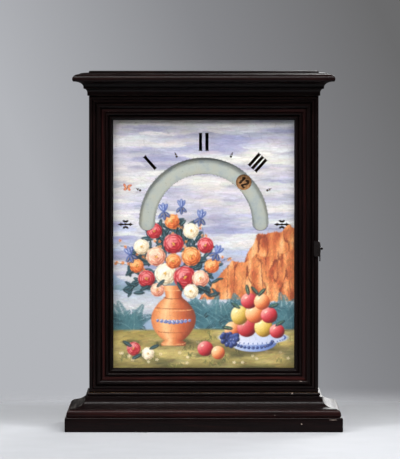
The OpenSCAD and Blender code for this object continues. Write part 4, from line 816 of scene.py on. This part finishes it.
# %% Ground with grass and small flowers
ground = 46 + 3 * cloudy(40, 50, 51)
nearness = np.clip((ground - H) / 46, 0, 1)
lay(soft(ground - H, 3), blend(["#8E8146", "#B7A361", "#C2AF6E", "#7B7040"], nearness), 4)
lay(soft(ground - H) * np.clip(cloudy(28, 7, 52) * 2 - 0.9, 0, 1), rgb("#CDBD80"))
lay(soft(ground - H) * np.clip(cloudy(22, 8, 53) * 2.2 - 1.2, 0, 1), rgb("#5A5836"))
brush_over(ground > H, 1300, 10, 2.0, vary=0.08, turn=0.12)
for x, h in zip(draw.uniform(-110, 110, 60), draw.uniform(2, 44, 60)):
    for lean in draw.normal(math.pi / 2, 0.45, 7):
        stroke(x + draw.normal(0, 1.6), h, lean, draw.uniform(5, 10), 0.9,
               blend(["#3E4B30", "#7D7B45", "#C2AE6C"], draw.random()), 0.85, 0.7)
for x, h in zip(draw.uniform(-106, 106, 26), draw.uniform(6, 34, 26)):
    for a in np.arange(5) * 2 * math.pi / 5:
        stroke(x + 1.3 * math.cos(a), h + 1.1 * math.sin(a), a, 2.2, 1.3, rgb("#EADFC2"), 0.9, 0.9)
    stroke(x, h, 0, 1.0, 1.0, rgb("#C98A2C"), 0.9, 0.9)
print("ground painted")


# %% [markdown]
# Vase, dish and fruit are round things. The light falls off across a turned vessel by the
# distance from its lit side, and over a fruit by the way its surface faces.

# %% Vase, dish and fruit
def ball(x, h, r, stops, tall=1.0):
    """A round fruit lit from the upper left."""
    dx, dh = (X - x) / r, (H - h) / (r * tall)
    away = dx * dx + dh * dh
    light = np.clip(0.30 - 0.42 * dx + 0.42 * dh + 0.28 * np.sqrt(np.clip(1 - away, 0, 1)), 0, 1)
    lay(soft((1 - np.sqrt(away)) * r, 0.9), blend(stops, light), np.degrees(np.arctan2(dh, dx)) + 90)
    brush_over(away < 0.8, int(r * r * 0.7), 3.5, 1.0, vary=0.05, strength=0.5)
    stroke(x - 0.38 * r, h + 0.42 * r * tall, 0.6, r * 0.42, r * 0.22, rgb("#FBEFDD"), 0.75, 0.9)


def turned(x, outline, stops):
    """A turned vessel, from pairs of height and half width."""
    heights, widths = np.array(outline).T
    half = np.interp(H, heights, widths, left=0, right=0)
    u = np.clip((X - x) / np.maximum(half, 0.1), -1, 1)
    light = np.clip(0.95 - 0.75 * np.abs(u + 0.4) + 0.1 * cloudy(4, 5, 83), 0, 1)
    body = soft(half - np.abs(X - x), 0.9) * (half > 0)
    lay(body, blend(stops, light), 88)
    brush_over(body > 0.5, 420, 5, 1.3, vary=0.05, strength=0.5)


vase_x = -38
dish_x, dish_h, foot_h = 62, 38, 33
shade_under = (np.exp(-((X + 30) / 46) ** 2 - ((H - 30) / 6) ** 2)
               + np.exp(-((X - 64) / 52) ** 2 - ((H - 22) / 6) ** 2))
lay(np.clip(shade_under, 0, 1) * 0.6, rgb("#3B3420"))
vase_foot = [(28, 15), (31, 16), (34, 11)]
belly = [(34 + 54 * a / math.pi, 11 + 17 * math.sin(a) ** 0.8) for a in np.linspace(0, math.pi, 16)]
neck = [(90, 10), (97, 11), (100, 16), (103, 16)]
turned(vase_x, vase_foot + belly + neck, ["#7E3A26", "#B85A36", "#DB8A56", "#F0BE8A"])
vase_rings = ((99, 15, "#F3C898"), (88.5, 11, "#7E3A26"), (76, 22, "#8F452C"), (73.5, 23, "#F0BE8A"),
              (46, 20, "#8F452C"), (31, 15, "#F0BE8A"))
for h, half, tone in vase_rings:
    for x in np.linspace(-half, half, 26):
        sag = 2.0 * math.sqrt(max(0, 1 - (x / half) ** 2))
        stroke(vase_x + x, h - sag, 0, 3, 1.0, rgb(tone), 0.75, 0.7)
for x in np.linspace(-20, 20, 9):
    flower(vase_x + x, 60 - 2.4 * math.cos(x / 15), 3.0 * math.cos(x / 24),
           ["#2F4890", "#7F94CC", "#E6E4EE"], 5)
dish = (X - dish_x) ** 2 / 44 ** 2 + (H - dish_h) ** 2 / 9 ** 2
under_dish = (X - dish_x) ** 2 / 30 ** 2 + (H - foot_h) ** 2 / 13 ** 2
lay(soft((1 - np.sqrt(under_dish)) * 13, 0.9) * (H < 40),
    blend(["#5570B4", "#C9D2E8"], np.clip((92 - X) / 60, 0, 1)), 0)
lay(soft((1 - np.sqrt(dish)) * 9, 0.9), blend(["#E6E4EE", "#AEBBDC"], np.clip((X - 18) / 88, 0, 1)), 0)
for a in np.arange(44) * 2 * math.pi / 44:
    stroke(dish_x + 40.5 * math.cos(a), dish_h + 7.6 * math.sin(a), a, 2.6, 1.5, rgb("#2F4890"), 0.9, 0.8)
for a in np.linspace(math.pi, 2 * math.pi, 15):
    flower(dish_x + 24 * math.cos(a), foot_h + 8 * math.sin(a), 2.2, ["#16224E", "#2F4890", "#7F94CC"], 5)
peach = ["#8E3A22", "#D0693A", "#EDB27C", "#F7DDB4"]
apple = ["#5E0E16", "#A81F2A", "#D0525A", "#F0B4A8"]
quince = ["#7A5A1E", "#C29A3C", "#E6CC78", "#F6EBB6"]
grape = ["#0E1430", "#26336B", "#5366A6"]
fruits = ((36, 48, 10, peach, 1.0), (54, 50, 12, apple, 0.95), (75, 51, 11.5, quince, 1.08),
          (92, 46, 9.5, apple, 0.95), (45, 66, 11, quince, 1.1), (64, 68, 12, peach, 1.0),
          (82, 66, 10.5, apple, 0.95), (57, 84, 10.5, apple, 0.95), (73, 83, 10, peach, 1.0),
          (2, 24, 10, apple, 0.95), (18, 19, 8.5, peach, 1.0))
for x, h, r, stops, tall in fruits:
    ball(x, h, r, stops, tall)
for k in range(34):
    away, a = math.sqrt(k / 34), k * 2.4
    ball(30 + 11 * away * math.cos(a) + 3, 42 - 15 * away * abs(math.sin(a)), 3.2, grape)
fruit_leaves = ((64, 97, 2.3), (73, 95, 0.8), (55, 98, 1.8), (88, 78, 0.3), (40, 78, 2.6), (30, 50, 3.0),
                (96, 56, 0.5))
for x, h, a in fruit_leaves:
    leaf(x, h, a, 15, mid="#47705E", vein="#A9BC8C")
print("vase and fruit painted")


# %% Bouquet, from the leaves at the back to the flowers in front
for k in range(230):
    a, away = draw.uniform(-0.25, math.pi + 0.25), 62 * math.sqrt(draw.random())
    leaf(vase_x + away * math.cos(a) * 0.95, 108 + away * math.sin(a) * 1.25,
         a + draw.normal(0, 0.6), draw.uniform(10, 18))
for a in (0.25, 0.7, 1.15, 1.6, 2.0, 2.5, 2.9):
    spray(vase_x + 30 * math.cos(a), 112 + 34 * math.sin(a), a, 11, ["#B5431F", "#DC7434", "#F3B272"])
rose = ["#9A4A3A", "#D98A72", "#F0BFA2", "#FBE6D0"]
peony = ["#5E0E16", "#A31B28", "#C93A42", "#EDA0A0"]
cream = ["#A58A6A", "#E2CFB0", "#F4EAD2", "#FFFBEE"]
orange = ["#7E2F16", "#C9582A", "#EA8F4C", "#F8C88E"]
flowers = ((-84, 128, 9, orange), (-78, 152, 10, cream), (-62, 172, 10, peony), (-40, 184, 9.5, orange),
           (-16, 172, 10, cream), (2, 154, 10.5, peony), (10, 128, 9.5, orange), (-60, 140, 12.5, rose),
           (-38, 156, 13, peony), (-16, 140, 12.5, orange), (-72, 112, 11, peony), (-48, 118, 14, cream),
           (-24, 114, 14.5, peony), (-4, 112, 11, rose), (-38, 134, 10, orange), (-58, 98, 9, rose),
           (-16, 96, 9.5, cream), (-88, 24, 9, peony), (-70, 18, 8, cream))
for x, h, r, stops in flowers:
    flower(x, h, r, stops)
irises = ((-92, 142, 10, 0.3), (-50, 196, 10, 0.1), (-4, 188, 10, -0.2), (16, 144, 10, -0.5),
          (-28, 202, 9, 0.0), (-70, 186, 9, 0.3))
for x, h, r, lean in irises:
    iris(x, h, r, lean)
last_leaves = ((-96, 30, 2.6), (-62, 26, 0.4), (-84, 14, 3.6), (-54, 106, 3.9), (-30, 102, 5.2),
               (-2, 100, 5.8), (-74, 100, 3.6))
for x, h, a in last_leaves:
    leaf(x, h, a, 15)
print("bouquet painted")


# %% Two moths and the last touches
for x, h, size, lean in ((60, 214, 9, 0.5), (-96, 226, 7, -0.4)):
    for side in (-1, 1):
        for up, reach in ((0.7, 1.0), (-0.6, 0.75)):
            a = lean + math.pi / 2 - side * (math.pi / 2 - up)
            stroke(x + side * 0.55 * size * reach * math.cos(up), h + 0.55 * size * reach * math.sin(up), a,
                   size * reach, size * 0.5, rgb("#B5431F"), 0.9, 0.7)
            stroke(x + side * 0.45 * size * reach * math.cos(up), h + 0.45 * size * reach * math.sin(up), a,
                   size * reach * 0.6, size * 0.28, rgb("#EFA765"), 0.9, 0.8)
    stroke(x, h, lean + math.pi / 2, size * 0.9, size * 0.14, rgb("#3B1C14"), 0.95, 0.8)
brush_over((H > 8) & (H < 210) & (np.abs(X) < 112), 5000, 3.6, 0.9, vary=0.05, strength=0.4, turn=0.2)
print("picture finished")


# %% [markdown]
# The paint itself is a thin skin on the sheet, so it's a mesh of its own in front of the panel.
# Its outline and every hole in it are read from the panel, so the paint ends exactly at the
# piercings. A net of triangles a millimetre wide fills the outline, each point takes its colour
# from the canvas, and the thick touches stand out by a tenth of a millimetre. The colours are
# stored on the mesh, which keeps them when the part is exported.

# %% Outline and holes of the paint, from the panel
def front_loops(node, y):
    """Closed lines of points round the faces of a node that lie in the plane at y."""
    shape = bmesh.new()
    shape.from_mesh(node.data)
    bmesh.ops.remove_doubles(shape, verts=shape.verts, dist=1e-7)
    front = {f for f in shape.faces if all(abs(v.co.y - y) < 1e-6 for v in f.verts)}
    rim = {e for e in shape.edges if sum(f in front for f in e.link_faces) == 1}
    loops = []
    while rim:
        edge = rim.pop()
        run = [edge.verts[0], edge.verts[1]]
        step = [edge]
        while step:
            step = [e for e in run[-1].link_edges if e in rim]
            if step:
                rim.discard(step[0])
                run.append(step[0].other_vert(run[-1]))
        loops.append([(v.co.x / MM, v.co.z / MM) for v in run[:-1]])
    shape.free()
    return loops


def run_width(run):
    """How far a closed line of points reaches along X."""
    across = [x for x, z in run]
    return max(across) - min(across)


def rectangle(half_x, z0, z1, step):
    """Points round a rectangle, about a step apart."""
    level = np.linspace(-half_x, half_x, int(2 * half_x / step))
    rise = np.linspace(z0, z1, int((z1 - z0) / step))
    return ([(x, z0) for x in level[:-1]] + [(half_x, z) for z in rise[:-1]]
            + [(x, z1) for x in level[:0:-1]] + [(-half_x, z) for z in rise[:0:-1]])


foot_z = (door_low.z + frame_width) / MM + margin
holes = sorted(front_loops(nodes["painted_panel"], panel_face), key=run_width)[:-1]
loops = [rectangle(wide / 2, foot_z, foot_z + high, 2.0)] + holes
print("paint has", len(holes), "holes")


# %% The skin of paint
def offset_ring(run, worn):
    """Points round a hole, so many millimetres away from its edge."""
    p = np.array(run)
    along = np.roll(p, -1, 0) - np.roll(p, 1, 0)
    out = np.stack([along[:, 1], -along[:, 0]], 1) / np.maximum(np.hypot(*along.T), 1e-6)[:, None]
    turned_left = np.sum(p[:, 0] * np.roll(p[:, 1], -1) - np.roll(p[:, 0], -1) * p[:, 1]) > 0
    return p + out * (worn if turned_left else -worn)


def shade_rim_width(run):
    """How far the dark rim of painted shade reaches from a hole: more along the wide slot than at a small
    mark.
    """
    return 0.8 if run_width(run) > 50 else 0.45


def fill(loops, spacing=None):
    """Triangles between an outline and its holes, with inner points if a spacing is given.

    The last list returned holds the points on and near the holes, which take a dark rim of painted shade.
    """
    points, edges, bare = [], [], []
    for run in loops:
        first = len(points)
        points += [Vector(p) for p in run]
        edges += [(first + i, first + (i + 1) % len(run)) for i in range(len(run))]
    # These points on the holes, and the first ring round each, take the dark rim of painted shade.
    bare += range(len(loops[0]), len(points))
    if spacing:
        for run in loops[1:]:
            bare += range(len(points), len(points) + len(run))
            points += [Vector(p) for p in offset_ring(run, shade_rim_width(run))]
            points += [Vector(p) for p in offset_ring(run, shade_rim_width(run) + 0.3)]
        for row, z in enumerate(np.arange(foot_z + spacing, foot_z + high - spacing / 2, spacing * 0.866)):
            start = -wide / 2 + spacing * (0.75 + 0.5 * (row % 2))
            points += [Vector((x, z)) for x in np.arange(start, wide / 2 - spacing / 2, spacing)]
    flat, _, faces, origins, *_ = geometry.delaunay_2d_cdt(points, edges, [], 0, 1e-7)
    flat, faces = np.array(flat), np.array(faces)
    middles = flat[faces].mean(1)
    odd = np.zeros(len(faces), bool)
    for run in loops:
        for (x0, z0), (x1, z1) in zip(run, run[1:] + run[:1]):
            if z0 != z1:
                odd ^= ((z0 > middles[:, 1]) != (z1 > middles[:, 1])) & (
                    middles[:, 0] < (x1 - x0) * (middles[:, 1] - z0) / (z1 - z0) + x0)
    used = np.unique(faces[odd])
    number = np.full(len(flat), -1)
    number[used] = np.arange(len(used))
    place = {given: number[k] for k, origin in enumerate(origins) for given in origin}
    rims, first = [], 0
    for run in loops:
        rims.append([place[first + i] for i in range(len(run))])
        first += len(run)
    return flat[used], number[faces[odd]], rims, [place[k] for k in bare if place[k] >= 0]


def sample(grid, flat):
    """Values of a grid of the canvas at points, mixed from the four nearest."""
    fx = np.clip((flat[:, 0] + wide / 2) / cell, 0, grid.shape[1] - 1.001)
    fz = np.clip((flat[:, 1] - foot_z) / cell, 0, grid.shape[0] - 1.001)
    ix, iz = fx.astype(int), fz.astype(int)
    tx, tz = fx - ix, fz - iz
    if grid.ndim == 3:
        tx, tz = tx[:, None], tz[:, None]
    low = grid[iz, ix] * (1 - tx) + grid[iz, ix + 1] * tx
    top = grid[iz + 1, ix] * (1 - tx) + grid[iz + 1, ix + 1] * tx
    return low * (1 - tz) + top * tz


def paint_mesh(spacing, skin, relief):
    """A closed skin over the panel with its colours, and a dark rim of painted shade round the piercings."""
    front, front_faces, front_rims, bare = fill(loops, spacing)
    back, back_faces, back_rims, _ = fill(loops)
    depth = panel_face / MM - skin - relief * sample(thick, front)
    count = len(front)
    seated = np.full(len(back), panel_face / MM)
    points = np.concatenate([np.stack([front[:, 0], depth, front[:, 1]], 1),
                             np.stack([back[:, 0], seated, back[:, 1]], 1)]) * MM
    faces = front_faces.tolist() + (back_faces[:, ::-1] + count).tolist()
    for rim, other in zip(front_rims, back_rims):
        for i in range(len(rim)):
            k = (i + 1) % len(rim)
            faces.append([rim[k], rim[i], other[i] + count, other[k] + count])
    mesh = bpy.data.meshes.new("oil paint")
    mesh.from_pydata(points.tolist(), [], faces)
    mesh.shade_smooth()
    mesh.set_sharp_from_angle(angle=math.radians(50))
    colours = np.ones((len(points), 4))
    colours[:count, :3] = to_linear(np.clip(sample(paint, front), 0, 1))
    # Painted shade: a dark rim round every piercing, and the same dark on the skin's back and on its walls
    # in the piercings.
    colours[bare] = linear("#1C1614")
    colours[count:] = linear("#1C1614")
    layer = mesh.color_attributes.new("paint", "FLOAT_COLOR", "POINT")
    layer.data.foreach_set("color", colours.ravel())
    return mesh


print("skin of", len(loops), "closed lines")

# %% [markdown]
# Oil paint dries hard with a soft gloss, and its varnish yellows. After centuries a net of fine
# cracks runs through it. The shader takes the stored colours, warms them a little in patches,
# draws the cracks as dark lines along the borders of cells a few millimetres wide, and lays a
# clear coat on top for the varnish.

# %% Oil paint under varnish
def oil_paint():
    made, tree, shader, point = new_material("oil paint under varnish", IOR=1.5, Coat_Weight=0.25,
                                             Coat_Roughness=0.22)
    stored = add(tree, "ShaderNodeVertexColor", layer_name="paint").outputs[0]
    patches = add(tree, "ShaderNodeTexNoise", {"Vector": point, "Scale": 0.018, "Detail": 4.0}).outputs[0]
    varnish = add(tree, "ShaderNodeValToRGB", {0: patches},
                  [(0.35, "#FFFEFA"), (0.7, "#ECE2CE")]).outputs[0]
    warm = add(tree, "ShaderNodeMix", {0: 0.5, 6: stored, 7: varnish}, data_type="RGBA",
               blend_type="MULTIPLY").outputs[2]
    bristles = add(tree, "ShaderNodeTexNoise", {"Vector": point, "Scale": 1.6, "Detail": 4.0}).outputs[0]
    shifted = add(tree, "ShaderNodeVectorMath", {0: point, 1: bristles}, operation="ADD").outputs[0]
    edge = add(tree, "ShaderNodeTexVoronoi", {"Vector": shifted, "Scale": 0.14},
               feature="DISTANCE_TO_EDGE").outputs[0]
    crack = add(tree, "ShaderNodeMapRange",
                {"Value": edge, "From Max": 0.02, "To Min": 0.35, "To Max": 0.0}).outputs[0]
    cracked = add(tree, "ShaderNodeMix", {0: crack, 6: warm, 7: linear("#4A4038")},
                  data_type="RGBA").outputs[2]
    rough = add(tree, "ShaderNodeMapRange", {"Value": bristles, "To Min": 0.38, "To Max": 0.62}).outputs[0]
    bump = add(tree, "ShaderNodeBump",
               {"Height": bristles, "Strength": 0.3, "Distance": 0.0002}).outputs[0]
    connect(tree, shader, Base_Color=cracked, Roughness=rough, Normal=bump)
    return made


paint_spacing, paint_skin, paint_relief = 0.97, 0.04, 0.1
film = new_piece("oil_paint", paint_mesh(paint_spacing, paint_skin, paint_relief), oil_paint(),
                 "front_door")
# The metal of the panel shows only at the back and in the piercings
bare_sheet = mottled("copper sheet, browned", 0.06, 6.0,
                     [(0.35, "#3B241A"), (0.6, "#5A3826"), (0.8, "#2E2A26")],
                     rough=(0.45, 0.75), Metallic=0.8)
finish_with(bare_sheet, "painted_panel")
print("paint of", len(film.data.polygons), "faces, up to", paint_skin + paint_relief, "mm thick")

# %% [markdown]
# The hour numerals are cut through their discs with a fine saw. A dark band of painted shade round each of
# them makes the numeral look bolder than its opening: flat, a fiftieth of a millimetre thick and half a
# millimetre wide, it follows every opening on the front of the two discs.

# %% Painted shade round the hour numerals
def numeral_shade_band(disc, away, thick):
    """A thin closed band round each opening in a disc, in millimetres."""
    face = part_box(disc)[0].y
    front = face - thick * MM
    openings = sorted(front_loops(nodes[disc], face), key=run_width)[:-1]
    shape = bmesh.new()
    for run in openings:
        outer = offset_ring(run, away).tolist()
        rings = [[shape.verts.new((x * MM, y, z * MM)) for x, z in ring]
                 for ring, y in ((run, face), (run, front), (outer, front), (outer, face))]
        for near, far in zip(rings, rings[1:] + rings[:1]):
            for k in range(len(run)):
                shape.faces.new((near[k - 1], near[k], far[k], far[k - 1]))
    bmesh.ops.recalc_face_normals(shape, faces=shape.faces)
    mesh = bpy.data.meshes.new("soot band")
    shape.to_mesh(mesh)
    shape.free()
    return mesh, len(openings)


# The near-black of this material is painted shade round the numerals.
soot = mottled("painted shade round the numerals", 1.5, 3.0, [(0.4, "#120E0C"), (0.7, "#2A1E16")], IOR=1.5, Roughness=0.85)
for disc, body in (("hour_disc_even", "even_hours"), ("hour_disc_odd", "odd_hours")):
    band, count = numeral_shade_band(disc, away=0.5, thick=0.02)
    new_piece("numeral_shade_" + disc, band, soot, body)
    print("soot round", count, "openings of", disc)

# %% [markdown]
# Three centuries leave marks. Pale flakes lie on the wood: most are chips that show the pale wood under the
# stain, and the two near the door's upper corners and the long one on the plinth's edge are painted
# highlights, thin lines of light along the edges. Each is a flake lying in the surface: a ring of points
# with an uneven edge, set on the spot and at the slope where a line from the front meets the wood.

# %% Chips and painted highlights on the wood
def flake_mesh(spot, normal, length, height, lift, points=12):
    """A thin closed flake on the surface, longer along X."""
    rng = np.random.default_rng(int(abs(spot.x) * 1e5) + int(spot.z * 1e5))
    side = Vector((1, 0, 0))
    up = normal.cross(side).normalized()
    rim = []
    for k in range(points):
        a = 2 * math.pi * k / points
        size = rng.uniform(0.65, 1.0)
        rim.append(spot + side * (length / 2 * size * math.cos(a)) + up * (height / 2 * size * math.sin(a)))
    low = [p - normal * 0.3 * lift for p in rim]
    sides = [(k, (k + 1) % points, points + 1) for k in range(points)]
    unders = [((k + 1) % points, k, points) for k in range(points)]
    mesh = bpy.data.meshes.new("chip")
    mesh.from_pydata(low + [spot - normal * 2 * lift, spot + normal * lift], [], sides + unders)
    return mesh


# Place along X and Z, length and height, all in millimetres
pale_flakes = [
    ("chip_rail", 121.6, 61.6, 5.0, 1.0, "front_door"),
    ("chip_bead_upper", 110.6, 46.6, 2.3, 1.8, "case"),
    ("chip_bead_lower", 108.6, 43.6, 1.9, 1.6, "case"),
    ("chip_plinth", 121.9, 10.4, 2.7, 2.1, "case"),
    # A painted highlight: a thin pale line along the plinth's edge.
    ("painted_highlight_plinth_edge", 161.5, 15.6, 15.0, 0.9, "case"),
    ("chip_bead_right", 128.5, 47.2, 2.8, 0.9, "case"),
    ("chip_round", 88.6, 21.0, 1.6, 1.0, "case"),
    # Painted highlights near the door's upper corners.
    ("painted_highlight_corner_left", -119.8, 399.0, 1.3, 2.6, "front_door"),
    ("painted_highlight_corner_right", 123.4, 396.0, 2.6, 0.8, "front_door"),
]
lift = 0.1 * MM
in_front = -0.4
backwards = Vector((0, 1, 0))
pale_wood_and_highlight = mottled("pearwood, bare", 1.2, 3.0, [(0.35, "#7E6B60"), (0.7, "#B5A79C")], IOR=1.5, Roughness=0.6)
depsgraph = bpy.context.evaluated_depsgraph_get()
for name, x, z, length, height, body in pale_flakes:
    start = Vector((x * MM, in_front, z * MM))
    _, spot, normal, *_ = bpy.context.scene.ray_cast(depsgraph, start, backwards)
    flake = flake_mesh(spot, normal, length * MM, height * MM, lift)
    new_piece(name, flake, pale_wood_and_highlight, body)
print(len(pale_flakes), "pale_flakes")

# %% [markdown]
# The battens of the back door are held by clout nails, driven from outside, so four heads show
# in a row at the height of each batten. A head is struck by hand: a low dome with flat places.

# %% Nails in the back door
def nail_head(radius, rise, facets=9, seed=0):
    """A low faceted dome that faces +Y."""
    rng = np.random.default_rng(seed)
    rings = [(1.0, -0.2), (0.96, 0.35), (0.6, 0.85)]
    points = []
    for reach, up in rings:
        for k in range(facets):
            a = 2 * math.pi * k / facets
            r = radius * reach * rng.uniform(0.93, 1.05)
            points.append((r * math.cos(a), rise * up, r * math.sin(a)))
    points.append((0, rise, 0))
    faces = [(j * facets + k, j * facets + (k + 1) % facets, (j + 1) * facets + (k + 1) % facets,
              (j + 1) * facets + k) for j in range(2) for k in range(facets)]
    faces += [(2 * facets + k, 2 * facets + (k + 1) % facets, 3 * facets) for k in range(facets)]
    faces += [tuple(range(facets - 1, -1, -1))]
    mesh = bpy.data.meshes.new("nail head")
    mesh.from_pydata(points, [], faces)
    return mesh


board_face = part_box("back_door_board")[1].y
batten_low, batten_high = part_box("back_door_battens")
half_batten, from_end, off_line = 15 * MM, 12 * MM, 5 * MM
rows = [batten_low.z + half_batten, batten_high.z - half_batten]
number = 0
for z in rows:
    for x in np.linspace(batten_low.x + from_end, batten_high.x - from_end, 4):
        head_mesh = nail_head(2.4 * MM, 0.9 * MM, seed=number)
        head_mesh.transform(Matrix.Translation((x, board_face, z + (-1) ** number * off_line)))
        new_piece("nail_%d" % number, head_mesh, iron, "back_door")
        number += 1
print(number, "nails")
